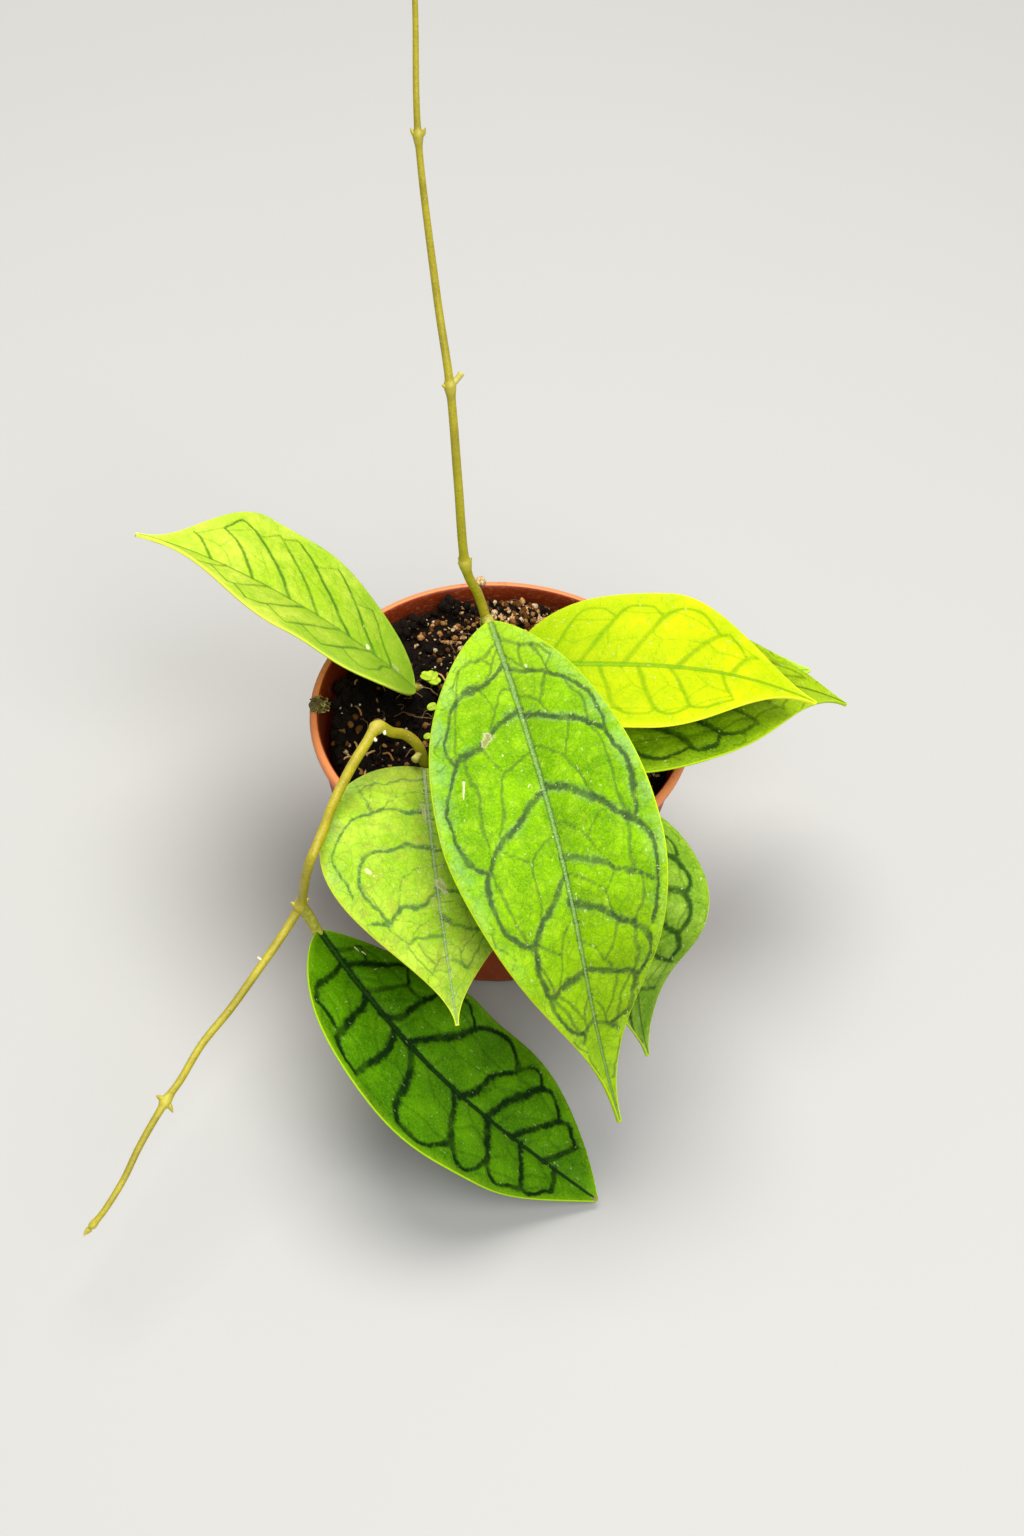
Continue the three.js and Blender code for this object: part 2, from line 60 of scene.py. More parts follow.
# Leaf blades. Each midrib is a Bezier curve from the base to the tip. Pairs give the left and
# right side, seen from above with the tip pointing away, or the base and the tip. fullness
# rounds the base (low) or points it (high), and draw pulls the tip out. Angles are in degrees.
BLUNT = 0.5  # half width of a blade where it begins and ends
PETIOLE_SIDES = 20
BLADE_GRID = (160, 84)  # rows and columns of a blade
FINE_BLADE_GRID = {"leaf_front": (230, 116)}
LEAVES = {
    "leaf_front": {
        "midrib": [(-4.5, 6.5, 98), (26, -99.5, 104), (20.5, -88, 84), (38, -103.5, 28)],
        "half_width": (26.5, 29.5), "widest": (0.5, 0.45), "fullness": 0.78, "draw": 2.1,
        "fold": (19, 19), "roll": (-12, -6), "curl": 12, "wave": 0.7, "waves": 3,
        "petiole": [(-5.5, 11, 93), (-5.2, 8.8, 96)], "petiole_radius": 1.8,
    },
    "leaf_left": {
        "midrib": [(-24.5, 10.5, 66.5), (-45, 13.5, 88), (-80.5, 19.5, 106), (-99.5, 13.5, 115)],
        "half_width": (29.5, 30.5), "widest": (0.55, 0.6), "fullness": 0.6, "draw": 2.3,
        "fold": (13, 13), "roll": (-20, -16), "curl": 6, "wave": 0.6, "waves": 2.5,
        "petiole": [(-25, 14.5, 50), (-25, 14.2, 58), (-24.2, 12.6, 64)], "petiole_radius": 1.5,
    },
    "leaf_right_upper": {
        "midrib": [(2, 2, 88), (28, -8, 98), (55, 1.5, 97), (84.5, -3, 85)],
        "half_width": (22, 22), "widest": (0.52, 0.44), "fullness": 0.44, "draw": 1.9,
        "fold": (13, 12), "roll": (-17, -3), "curl": 8, "wave": 0.5, "waves": 2,
        "petiole": [(-4, 10, 81), (-2.2, 7, 83.5), (-0.4, 4, 86)], "petiole_radius": 1.5,
    },
    "leaf_right_middle": {
        "midrib": [(10.5, -8.5, 79), (36, -12, 91), (67, 12, 87), (96.5, 19, 63)],
        "half_width": (28, 27.5), "widest": (0.37, 0.33), "fullness": 0.53, "draw": 1.6,
        "fold": (10, 10), "roll": (-11, 2), "curl": 8, "wave": 0.6, "waves": 2.5,
        "petiole": [(9, -12, 68), (8.4, -11, 72.5), (8.6, -9.4, 76.5)], "petiole_radius": 1.5,
    },
    "leaf_right_back": {
        "midrib": [(11, -5.5, 68), (34.5, -3, 79), (60.5, 15.5, 76), (86, 27.5, 67)],
        "half_width": (24.5, 24.5), "widest": (0.43, 0.43), "fullness": 0.55, "draw": 1.3,
        "fold": (9, 8), "roll": (-8, -10), "curl": 8, "wave": 0.4, "waves": 2,
        "petiole": [(7.6, -9.4, 63), (8, -8, 65.6), (9.2, -6.4, 67.2)], "petiole_radius": 1.4,
    },
    "leaf_front_left": {
        "midrib": [(-19.5, -27, 75), (-14, -67.5, 82), (-13, -72, 80), (-5.5, -98.5, 58)],
        "half_width": (30, 30), "widest": (0.46, 0.46), "fullness": 0.55, "draw": 1.9,
        "fold": (8, 9), "roll": (10, 7), "curl": 10, "wave": 0.8, "waves": 2.5,
        "petiole": [(-16.6, -22.6, 70), (-18, -23.6, 72.6)], "petiole_radius": 1.6,
    },
    "leaf_low": {
        "midrib": [(-43.5, -67.5, 54), (-13.5, -105.5, 46), (-3, -95, 20), (34, -111.5, 3)],
        "half_width": (26.5, 25.5), "widest": (0.59, 0.45), "fullness": 0.78, "draw": 1.05,
        "fold": (10, 10), "roll": (20, -6), "curl": 8, "wave": 0.7, "waves": 3,
        "petiole": [(-48.6, -66.1, 62), (-46.6, -66, 58)], "petiole_radius": 1.7,
    },
    "leaf_front_right": {
        "midrib": [(24.5, -35.5, 80), (45.5, -75.5, 92), (32.5, -81.5, 80), (44.5, -87.5, 36)],
        "half_width": (19.5, 18.5), "widest": (0.4, 0.36), "fullness": 0.59, "draw": 1.55,
        "fold": (10, 10), "roll": (24, 4), "curl": 10, "wave": 0.6, "waves": 2.5,
        "petiole": [(20, -28, 75), (21, -30, 76.4), (22.6, -32.6, 78.4)], "petiole_radius": 1.5,
    },
}

# How side veins thin out as they loop along the margin, half widths of the weak veins, and what
# each random draw adds to a leaf's own seed.
LOOP_START, LOOP_SPAN, LOOP_THINNING = 0.66, 0.18, 0.25
CROSS_VEIN, MARGIN_VEIN = 0.36, 0.22
WEAK_STRENGTH = 0.5
MARGIN_SEED, WANDER_SEED = 20, 40

# Side veins: a strength, then places as (part of the way to the tip, part of the way to the
# edge). A side that is hidden in the photograph gets its veins from the pinnate rule: the
# places along the midrib where they leave it.
VEINS = {
    "leaf_front": {
        "left": [
            (0.45, (0.035, 0), (0.06, 0.3), (0.09, 0.7), (0.13, 0.88)),
            (0.7, (0.115, 0), (0.14, 0.3), (0.175, 0.7), (0.21, 0.84), (0.27, 0.88), (0.32, 0.84)),
            (0.9, (0.225, 0), (0.245, 0.25), (0.27, 0.55), (0.3, 0.75), (0.33, 0.84), (0.38, 0.87),
             (0.43, 0.85), (0.475, 0.76)),
            (1.0, (0.375, 0), (0.39, 0.2), (0.42, 0.38), (0.455, 0.6), (0.495, 0.8), (0.53, 0.88),
             (0.58, 0.91), (0.63, 0.84)),
            (0.6, (0.505, 0), (0.525, 0.3), (0.545, 0.52), (0.56, 0.75), (0.575, 0.9)),
            (0.9, (0.58, 0), (0.595, 0.25), (0.62, 0.55), (0.645, 0.8), (0.68, 0.88), (0.71, 0.82)),
            (0.7, (0.69, 0), (0.7, 0.35), (0.71, 0.7), (0.74, 0.85), (0.79, 0.8)),
            (0.5, (0.79, 0), (0.8, 0.4), (0.82, 0.75)),
        ],
        "right": [
            (0.45, (0.05, 0), (0.075, 0.35), (0.11, 0.75), (0.15, 0.86)),
            (0.75, (0.105, 0), (0.13, 0.25), (0.16, 0.55), (0.19, 0.76), (0.24, 0.86), (0.285, 0.84),
             (0.32, 0.74)),
            (0.95, (0.21, 0), (0.24, 0.22), (0.27, 0.45), (0.31, 0.67), (0.35, 0.8), (0.4, 0.87),
             (0.45, 0.87), (0.5, 0.82)),
            (1.0, (0.385, 0), (0.425, 0.22), (0.465, 0.42), (0.51, 0.67), (0.55, 0.77),
             (0.59, 0.78), (0.625, 0.68)),
            (0.9, (0.54, 0), (0.57, 0.17), (0.6, 0.36), (0.64, 0.58), (0.67, 0.7), (0.7, 0.72)),
            (0.8, (0.69, 0), (0.7, 0.35), (0.71, 0.65), (0.74, 0.8), (0.78, 0.72)),
            (0.5, (0.78, 0), (0.79, 0.4), (0.81, 0.75)),
        ],
    },
    "leaf_low": {
        "left": [
            (0.6, (0.065, 0), (0.08, 0.4), (0.09, 0.75)),
            (0.85, (0.115, 0), (0.135, 0.3), (0.155, 0.65), (0.175, 0.85), (0.2, 0.94)),
            (0.5, (0.2, 0), (0.225, 0.35), (0.25, 0.6)),
            (0.9, (0.26, 0), (0.295, 0.15), (0.315, 0.4), (0.325, 0.72), (0.345, 0.9), (0.42, 0.9),
             (0.48, 0.78)),
            (1.0, (0.355, 0), (0.405, 0.3), (0.45, 0.5), (0.5, 0.7), (0.545, 0.84), (0.6, 0.9),
             (0.64, 0.82), (0.66, 0.68)),
            (0.95, (0.545, 0), (0.59, 0.2), (0.615, 0.42), (0.65, 0.62), (0.69, 0.84), (0.73, 0.88)),
            (0.9, (0.635, 0), (0.67, 0.25), (0.71, 0.5), (0.75, 0.75), (0.78, 0.86)),
            (0.85, (0.73, 0), (0.775, 0.35), (0.815, 0.65), (0.845, 0.86)),
            (0.7, (0.83, 0), (0.87, 0.35), (0.9, 0.75)),
        ],
        "right": [
            (0.8, (0.1, 0), (0.115, 0.35), (0.135, 0.75), (0.17, 0.9)),
            (0.9, (0.205, 0), (0.23, 0.2), (0.235, 0.45), (0.235, 0.65), (0.245, 0.85), (0.29, 0.93)),
            (0.95, (0.31, 0), (0.33, 0.2), (0.335, 0.4), (0.325, 0.7), (0.325, 0.9)),
            (0.95, (0.375, 0), (0.4, 0.2), (0.41, 0.45), (0.415, 0.68), (0.425, 0.82), (0.46, 0.9),
             (0.51, 0.88), (0.565, 0.66)),
            (1.0, (0.525, 0), (0.54, 0.15), (0.55, 0.35), (0.56, 0.6), (0.585, 0.8), (0.62, 0.88),
             (0.66, 0.74), (0.675, 0.55)),
            (0.95, (0.645, 0), (0.66, 0.3), (0.675, 0.5), (0.7, 0.75), (0.74, 0.88), (0.79, 0.78)),
            (0.85, (0.76, 0), (0.785, 0.45), (0.8, 0.75), (0.84, 0.88), (0.88, 0.7)),
            (0.7, (0.86, 0), (0.88, 0.6)),
        ],
    },
    "leaf_right_upper": {
        "left": [
            (0.7, (0.12, 0), (0.15, 0.4), (0.2, 0.75), (0.24, 0.85), (0.3, 0.8)),
            (0.9, (0.22, 0), (0.25, 0.2), (0.295, 0.45), (0.345, 0.7), (0.39, 0.82), (0.46, 0.8)),
            (0.9, (0.36, 0), (0.4, 0.2), (0.44, 0.42), (0.48, 0.62), (0.54, 0.78), (0.6, 0.82),
             (0.66, 0.72)),
            (1.0, (0.53, 0), (0.565, 0.14), (0.61, 0.35), (0.66, 0.6), (0.7, 0.78)),
            (0.7, (0.71, 0), (0.745, 0.4), (0.79, 0.7)),
        ],
        "right": [
            (0.7, (0.17, 0), (0.21, 0.35), (0.26, 0.7), (0.31, 0.78)),
            (0.8, (0.29, 0), (0.31, 0.3), (0.33, 0.6), (0.38, 0.78), (0.44, 0.78)),
            (0.9, (0.41, 0), (0.43, 0.35), (0.46, 0.7), (0.51, 0.8), (0.56, 0.72)),
            (0.9, (0.51, 0), (0.545, 0.35), (0.565, 0.7), (0.62, 0.8)),
            (0.7, (0.68, 0), (0.69, 0.4), (0.71, 0.75)),
        ],
    },
    "leaf_left": {
        "left": [
            (0.6, (0.1, 0), (0.15, 0.3), (0.19, 0.62), (0.24, 0.78), (0.29, 0.66)),
            (0.8, (0.19, 0), (0.27, 0.35), (0.34, 0.62), (0.4, 0.8)),
            (0.7, (0.31, 0), (0.39, 0.32), (0.47, 0.6), (0.53, 0.8)),
            (0.8, (0.44, 0), (0.52, 0.32), (0.6, 0.62), (0.66, 0.8)),
            (0.7, (0.57, 0), (0.65, 0.35), (0.72, 0.7)),
            (0.6, (0.71, 0), (0.77, 0.4), (0.82, 0.75)),
        ],
        "right": [
            (0.6, (0.1, 0), (0.16, 0.45), (0.21, 0.8)),
            (0.8, (0.17, 0), (0.24, 0.4), (0.31, 0.72), (0.36, 0.86)),
            (0.95, (0.27, 0), (0.33, 0.25), (0.39, 0.48), (0.44, 0.68), (0.5, 0.88)),
            (0.7, (0.39, 0), (0.445, 0.3), (0.5, 0.55), (0.56, 0.8)),
            (1.0, (0.49, 0), (0.55, 0.33), (0.62, 0.62), (0.68, 0.85)),
            (0.8, (0.62, 0), (0.67, 0.35), (0.73, 0.72)),
            (0.7, (0.76, 0), (0.79, 0.4), (0.82, 0.75)),
        ],
    },
    "leaf_front_left": {
        "left": [
            (0.6, (0.12, 0), (0.15, 0.4), (0.19, 0.75)),
            (0.8, (0.26, 0), (0.29, 0.35), (0.34, 0.7), (0.41, 0.82)),
            (0.8, (0.4, 0), (0.43, 0.35), (0.47, 0.65), (0.54, 0.8)),
            (0.8, (0.55, 0), (0.59, 0.35), (0.63, 0.7), (0.68, 0.78)),
            (0.8, (0.655, 0), (0.69, 0.35), (0.715, 0.7)),
            (0.5, (0.79, 0), (0.82, 0.6)),
        ],
        "right": [
            (0.5, (0.06, 0), (0.09, 0.35), (0.12, 0.6), (0.18, 0.8)),
            (0.9, (0.22, 0), (0.245, 0.2), (0.255, 0.42), (0.28, 0.6), (0.33, 0.74), (0.4, 0.84),
             (0.5, 0.88), (0.58, 0.84)),
            (0.55, (0.27, 0.58), (0.22, 0.66), (0.17, 0.8)),
            (0.9, (0.385, 0), (0.41, 0.22), (0.43, 0.45), (0.455, 0.62), (0.52, 0.72), (0.6, 0.72),
             (0.645, 0.62)),
            (1.0, (0.57, 0), (0.6, 0.18), (0.62, 0.4), (0.65, 0.62), (0.65, 0.85)),
            (0.6, (0.7, 0), (0.72, 0.4), (0.74, 0.75)),
            (0.4, (0.82, 0), (0.83, 0.6)),
        ],
    },
    "leaf_right_middle": {
        "left": [0.1, 0.2, 0.31, 0.43, 0.55, 0.67, 0.78],
        "right": [
            (0.8, (0.1, 0), (0.15, 0.4), (0.2, 0.7), (0.26, 0.84), (0.33, 0.8)),
            (1.0, (0.21, 0), (0.27, 0.35), (0.33, 0.58), (0.345, 0.75), (0.36, 0.84), (0.42, 0.85)),
            (0.95, (0.34, 0), (0.38, 0.4), (0.42, 0.6), (0.45, 0.76), (0.5, 0.82)),
            (0.9, (0.46, 0), (0.51, 0.4), (0.55, 0.62), (0.57, 0.8)),
            (0.8, (0.6, 0), (0.64, 0.45), (0.68, 0.75)),
            (0.6, (0.74, 0), (0.77, 0.6)),
        ],
    },
    "leaf_right_back": {
        "left": [0.12, 0.24, 0.37, 0.5, 0.62, 0.74],
        "right": [0.12, 0.25, 0.38, 0.51, 0.63, 0.75],
    },
    "leaf_front_right": {
        "left": [
            (0.8, (0.14, 0), (0.18, 0.4), (0.22, 0.66), (0.27, 0.74), (0.31, 0.7)),
            (0.95, (0.25, 0), (0.29, 0.4), (0.32, 0.6), (0.35, 0.72), (0.4, 0.76), (0.43, 0.7)),
            (1.0, (0.37, 0), (0.42, 0.4), (0.44, 0.6), (0.48, 0.72), (0.53, 0.72), (0.56, 0.66)),
            (0.95, (0.49, 0), (0.53, 0.4), (0.56, 0.6), (0.61, 0.74), (0.66, 0.7)),
            (0.85, (0.61, 0), (0.65, 0.5), (0.68, 0.78)),
            (0.6, (0.74, 0), (0.77, 0.6)),
        ],
        "right": [0.12, 0.24, 0.36, 0.48, 0.6, 0.72],
    },
}

# How each leaf is coloured: the blade between its veins, paler in the middle of each field, with
# painted shade darkening it beside the sunken veins, and paler towards the base, the side veins,
# the middle rib with its dark edges, and the thin margin.
# contrast is how strongly the veins show, crisp how hard their edges are, width their half
# width, bulge how much the blade swells between them and through how much light passes it.
# PLAIN_LOOK holds what most leaves share: how strong the fine veins are, how much the veins
# wander and how ragged their edges are, how far the colour of the base reaches, where the pale
# core of the rib fades, how dark the rib's edges are, how pale the tip is and how strong the
# veins are there, how dull and how speckled the blade is, and the tint that lies along the
# veins and the margin, with its strength.
PLAIN_LOOK = {
    "fine": 0.4, "wiggle": 1.0, "ragged": 1.0, "reach": 0.22, "core": 0.9, "rib_dark": 0.65,
    "tip": 0.0, "far": 1.0, "dull": 0.35, "specks": 0.45, "wax": "98c890", "bloom": 0.08,
}
LEAF_LOOKS = {
    "leaf_front": {
        "blade": "5c9600", "pale": "86c200", "base": "acd824", "vein": "384e2c", "rib": "94bc6c",
        "margin": "cce81c", "glow": "a0d800", "contrast": 0.9, "crisp": 0.5, "width": 1.08,
        "rib_width": 0.88, "scurf": 0.2, "through": 0.2, "bulge": 0.9, "gloss": 0.05,
        "fine": 0.5, "ragged": 1.3, "reach": 0.3, "core": 2.0, "rib_dark": 0.6, "tip": 0.25,
        "bloom": 0.42,
    },
    "leaf_left": {
        "blade": "9cc414", "pale": "d6e24c", "base": "7cae1c", "vein": "427616", "rib": "a0c43c",
        "margin": "ecf858", "glow": "ccf000", "contrast": 0.88, "crisp": 0.5, "width": 0.65,
        "rib_width": 0.6, "scurf": 0.15, "through": 0.25, "bulge": 0.4, "gloss": 0.08,
        "fine": 0.35, "wiggle": 0.35, "ragged": 0.6, "reach": 0.55, "tip": 0.3, "dull": 0.5,
    },
    # leaf_right_upper: its bright yellow blade, pale and margin colours are painted light, the glow
    # of light shining through the blade from behind.
    "leaf_right_upper": {
        "blade": "b8cc00", "pale": "dade00", "base": "90bc08", "vein": "5c9c04", "rib": "94c01c",
        "margin": "fcff3c", "glow": "e8f800", "contrast": 0.58, "crisp": 0.2, "width": 0.75,
        "rib_width": 0.8, "scurf": 0.12, "through": 0.3, "bulge": 0.4, "gloss": 0.05,
        "fine": 0.3, "wiggle": 0.35, "ragged": 0.4, "reach": 0.5, "bloom": 0.0,
    },
    # leaf_right_middle: its blade is painted dark, a painted shadow that leaf_right_upper casts over
    # most of it, and its pale tip is painted light where the tip reaches out of that shadow.
    "leaf_right_middle": {
        "blade": "4c7400", "pale": "80a008", "base": "3e6000", "vein": "183404", "rib": "88ac44",
        "margin": "c0e01c", "glow": "9cd400", "contrast": 0.92, "crisp": 0.5, "width": 1.1,
        "rib_width": 0.7, "scurf": 0.1, "through": 0.2, "bulge": 0.7, "gloss": 0.05,
        "wiggle": 0.6, "tip": 0.6, "far": 0.2, "bloom": 0.0,
    },
    "leaf_right_back": {
        "blade": "8cc01c", "pale": "acd83c", "base": "7cac14", "vein": "5c9428", "rib": "b0d858",
        "margin": "d8f058", "glow": "c4ec10", "contrast": 0.35, "crisp": 0.4, "width": 0.55,
        "rib_width": 0.6, "scurf": 0.1, "through": 0.3, "bulge": 0.6, "gloss": 0.12,
        "fine": 0.25, "tip": 0.4,
    },
    "leaf_front_left": {
        "blade": "8cbc1c", "pale": "c4e444", "base": "a0b038", "vein": "3c6634", "rib": "b8c8a4",
        "margin": "e6f23c", "glow": "b4e018", "contrast": 0.8, "crisp": 0.45, "width": 0.68,
        "rib_width": 0.7, "scurf": 1.6, "through": 0.25, "bulge": 0.7, "gloss": 0.06,
        "fine": 0.5, "ragged": 1.2, "core": 2.0, "rib_dark": 0.4, "dull": 0.75, "bloom": 0.3,
    },
    "leaf_low": {
        "blade": "306400", "pale": "568e00", "base": "487c00", "vein": "082204", "rib": "2a5610",
        "margin": "a8d018", "glow": "5cc000", "contrast": 0.98, "crisp": 0.55, "width": 1.15,
        "rib_width": 1.0, "scurf": 0.06, "through": 0.12, "bulge": 0.9, "gloss": 0.05,
        "fine": 0.25, "wiggle": 0.8, "core": 0.3, "rib_dark": 0.97, "specks": 0.2,
        "wax": "1c4e00", "bloom": 0.5,
    },
    "leaf_front_right": {
        "blade": "588808", "pale": "98bc3c", "base": "508004", "vein": "1a400c", "rib": "6c9434",
        "margin": "c8e838", "glow": "90d800", "contrast": 0.92, "crisp": 0.5, "width": 1.0,
        "rib_width": 0.6, "scurf": 0.1, "through": 0.2, "bulge": 0.8, "gloss": 0.1,
        "wiggle": 0.7, "bloom": 0.0,
    },
}

# Dry marks on the blades: two places on the blade, half width in millimetres, and a tone from
# 0, brown, to 1, chalky. They taper towards the second place.
MARK_TAPER = 0.45
MARKS = {
    "leaf_front": [
        ((0.268, 0.4), (0.286, 0.46), 1.6, 0.7), ((0.355, 0.7), (0.39, 0.73), 0.4, 1.0),
        ((0.7, 0.6), (0.703, 0.61), 0.8, 0.15), ((0.13, -0.35), (0.135, -0.36), 0.5, 0.9),
        ((0.37, 0.1), (0.38, 0.16), 0.35, 0.9), ((0.31, 0.3), (0.315, 0.31), 0.4, 0.9),
    ],
    "leaf_front_left": [
        ((0.53, -0.02), (0.575, -0.08), 1.2, 0.8), ((0.5, 0.62), (0.52, 0.56), 0.6, 0.9),
        ((0.2, 0.05), (0.3, 0.03), 0.7, 0.7),
    ],
    "leaf_low": [
        ((0.08, -0.62), (0.1, -0.55), 0.3, 1.0), ((0.1, -0.62), (0.115, -0.6), 0.3, 1.0),
        ((0.16, -0.42), (0.17, -0.6), 0.25, 0.6), ((0.995, 0.0), (1.0, 0.0), 0.9, 0.2),
    ],
    "leaf_left": [((0.2, 0.05), (0.205, 0.08), 0.9, 1.0), ((0.08, 0.1), (0.1, 0.12), 0.6, 0.8)],
}

# Stems run from the foot in the mix to the tip. nodes are the numbers of the route points
# where they swell. shoots are side growths: a route, and its radius at each of its points.
STEMS = {
    "stem_climbing": {
        "route": [
            (0, 8, 40), (-1, 8.5, 60), (-4, 10, 81), (-5.5, 11, 93), (-8.2, 11.4, 103),
            (-12.1, 12, 113.5), (-15, 16, 139), (-18.2, 23.1, 164), (-23, 34.5, 185),
            (-29.1, 47.2, 221), (-31.3, 59.3, 251), (-34, 68, 276), (-37.5, 74, 297),
        ],
        "radius": (1.5, 1.06, 0.5), "nodes": (2, 3, 5, 7, 9, 11),
        "shoots": [
            ([(-18.2, 23.1, 164), (-16.8, 24.2, 165), (-15.3, 25.6, 166.6)], (0.95, 0.8, 0.85)),
            ([(-18.4, 23, 164), (-19.6, 22.4, 164.4), (-20.3, 22.2, 165)], (0.8, 0.6, 0.15)),
            ([(-12.1, 12, 113.5), (-10.9, 11.6, 114.7), (-10.4, 11.6, 116.2)], (0.9, 0.6, 0.1)),
            ([(-12.1, 12, 113.5), (-13.4, 12.2, 114.4), (-14, 12.2, 115.6)], (0.9, 0.6, 0.1)),
            ([(-29.1, 47.2, 221), (-27.9, 47, 222.3), (-27.3, 47, 224)], (0.9, 0.65, 0.1)),
            ([(-29.1, 47.2, 221), (-30.4, 47.4, 222), (-31.1, 47.6, 223.2)], (0.9, 0.6, 0.1)),
            ([(-34, 68, 276), (-35.2, 68, 277.2), (-35.7, 68, 278.8)], (0.75, 0.5, 0.08)),
            ([(-37.5, 74, 296.6), (-37, 74.2, 298), (-36.6, 74.4, 299.7)], (0.6, 0.45, 0.06)),
        ],
    },
    "stem_trailing": {
        "route": [
            (-8, -14, 42), (-9.5, -16, 60), (-16.6, -22.6, 70), (-19.3, -25.1, 74.5),
            (-20.6, -24.6, 79), (-22.4, -24.1, 82), (-25.1, -23.8, 84), (-28.2, -25.2, 86),
            (-31.9, -26.7, 89.3), (-34.5, -32.9, 89.1), (-37.1, -39.8, 88.8), (-39, -46.4, 88.9),
            (-41.1, -54.4, 88.7), (-42.4, -62.4, 89.2), (-43.8, -68.6, 88.7),
            (-45.2, -71.1, 85.7), (-46.5, -70.2, 78.6), (-48.6, -66.1, 62), (-52.8, -73.5, 57.5),
            (-57.7, -81.6, 54), (-63.8, -91.7, 50), (-70.1, -101.4, 47), (-74.3, -110.9, 44.5),
            (-77.4, -116.8, 43), (-82.4, -127.4, 39), (-85.7, -135.4, 35),
            (-89.3, -142.3, 32), (-92.9, -146.7, 29),
        ],
        "radius": (1.55, 1.25, 0.8), "nodes": (2, 8, 17, 23, 27),
        "shoots": [
            ([(-20.6, -24.6, 78.6), (-21.3, -26.6, 78.9), (-22, -28.4, 79.2)], (1.1, 0.9, 1.1)),
            ([(-77.4, -116.8, 43), (-76.2, -117.9, 42), (-75.5, -118.6, 40.6)], (0.95, 0.7, 0.12)),
            ([(-77.4, -116.8, 43), (-78.8, -116.6, 44), (-79.7, -117, 45.4)], (0.95, 0.7, 0.12)),
            ([(-48.6, -66.1, 62), (-47.2, -65.4, 62.8), (-46.3, -65, 63.8)], (1.1, 0.8, 0.15)),
            ([(-48.8, -66.4, 62), (-50.2, -66.2, 62.4), (-51, -66.2, 63.2)], (1.0, 0.7, 0.15)),
            ([(-92.9, -146.7, 29), (-93.8, -147.6, 28.4), (-94.2, -148.4, 28.2)], (0.9, 0.6, 0.1)),
            ([(-30.4, -26.6, 88.2), (-30, -27.8, 88.4), (-29.8, -28.6, 88.6)], (0.55, 0.5, 0.35)),
            ([(-33.2, -30, 89), (-32.2, -31.2, 89.2), (-31.8, -31.8, 89.4)], (0.6, 0.5, 0.4)),
            ([(-56.6, -79.8, 54.8), (-57.8, -79.6, 55.8), (-58.2, -79.6, 56.4)], (0.4, 0.3, 0.3)),
        ],
    },
    "stem_short": {
        "route": [
            (7, -8, 42), (7.6, -9.4, 63), (9, -12, 68), (14, -20, 72.5), (20, -28, 75),
            (22.6, -31.4, 74.4),
        ],
        "radius": (1.5, 1.3, 0.7), "nodes": (2, 4),
        "shoots": [
            ([(20, -28, 75), (21.6, -29.4, 75.9), (22.6, -30.6, 77.2)], (0.9, 0.6, 0.1)),
        ],
    },
}
SWELL = 0.5  # how far a stem swells at a node
SWELL_REACH = 1.9
RING_STEP = 0.6  # distance between the rings of a stem

SEEDLINGS = {
    "seedling_clover": {
        "foot": (-20, 16.5, 58), "top": (-20.4, 15.6, 65.6), "radius": 1.9,
        "leaflets": [(-1.3, 0.4, 0.3), (0.3, 1, 0.1), (1.1, -0.7, -0.2)],
    },
    "seedling_round": {
        "foot": (-18.6, 6.4, 58), "top": (-19.2, 5.6, 64.4), "radius": 1.6,
        "leaflets": [(0, 0, 0.2)],
    },
    "seedling_small": {
        "foot": (-19.6, -4, 57), "top": (-19.8, -4.2, 62.8), "radius": 1.2,
        "leaflets": [(0, 0, 0.2)],
    },
}

# Pot
RIM_RADIUS = 52.5
FOOT_RADIUS = 39.4
POT_HEIGHT = 70
WALL = 1.2
FLOOR = 1.6
LIP_HEIGHT = 3.2
LIP_DEPTH = 2.5
DRAIN_HOLES = 8
DRAIN_RADIUS = 3
DRAIN_CIRCLE = 29

# Potting mix
SOIL_LEVEL = 62
GAP = 0.3
HEAP = ((10, 40), 3.6, 27)  # centre, height, reach
HOLLOW = ((-28, -26), -2.5, 18)
BANK_HEIGHT = 2.8  # how far the mix rises at the wall, from BANK_START out, at BANK_TOWARDS
BANK_START = 36
BANK_RISE = 10
BANK_TOWARDS = math.radians(140)
SHRINK_DEPTH = 2.2  # how far the mix has drawn back from the wall, at SHRINK_TOWARDS
SHRINK_TOWARDS = math.radians(215)
LUMPS = 150
LUMP_RADIUS = (1.8, 3.6)
SOIL_GRID = (120, 320)  # rings and sectors of the top of the mix
GROUND_GRID = (46, 120)  # the same for the plain surface that carries the loose mix
FIBRE_TONE_SEED, FIBRE_ANGLE_SEED, FIBRE_SIZE_SEED = 21, 22, 23
FIBRE_SIDES = 5
FIBRE_BEND = 4

# Camera: where the photograph was taken from, with the focal length that its frame needs.
AIM = Vector((3.9, -20.4, 70))
CAMERA_DISTANCE = 699
CAMERA_ELEVATION = math.radians(47.5)
CAMERA_ROLL = math.radians(3.8)
FOCAL_LENGTH = 60.94


def colour(code):
    """Six hex digits as the linear values that a shader takes."""
    shown = [int(code[i:i + 2], 16) / 255 for i in (0, 2, 4)]
    linear = [v / 12.92 if v <= 0.04045 else ((v + 0.055) / 1.055) ** 2.4 for v in shown]
    return (*linear, 1.0)


class LeafColours(bpy.types.PropertyGroup):
    """The colour of each blade between its veins."""


for _leaf, _look in LEAF_LOOKS.items():
    LeafColours.__annotations__[_leaf] = FloatVectorProperty(
        name=_leaf.replace("_", " "), description="Blade between the veins", subtype="COLOR",
        min=0, max=1, default=colour(_look["blade"])[:3],
    )


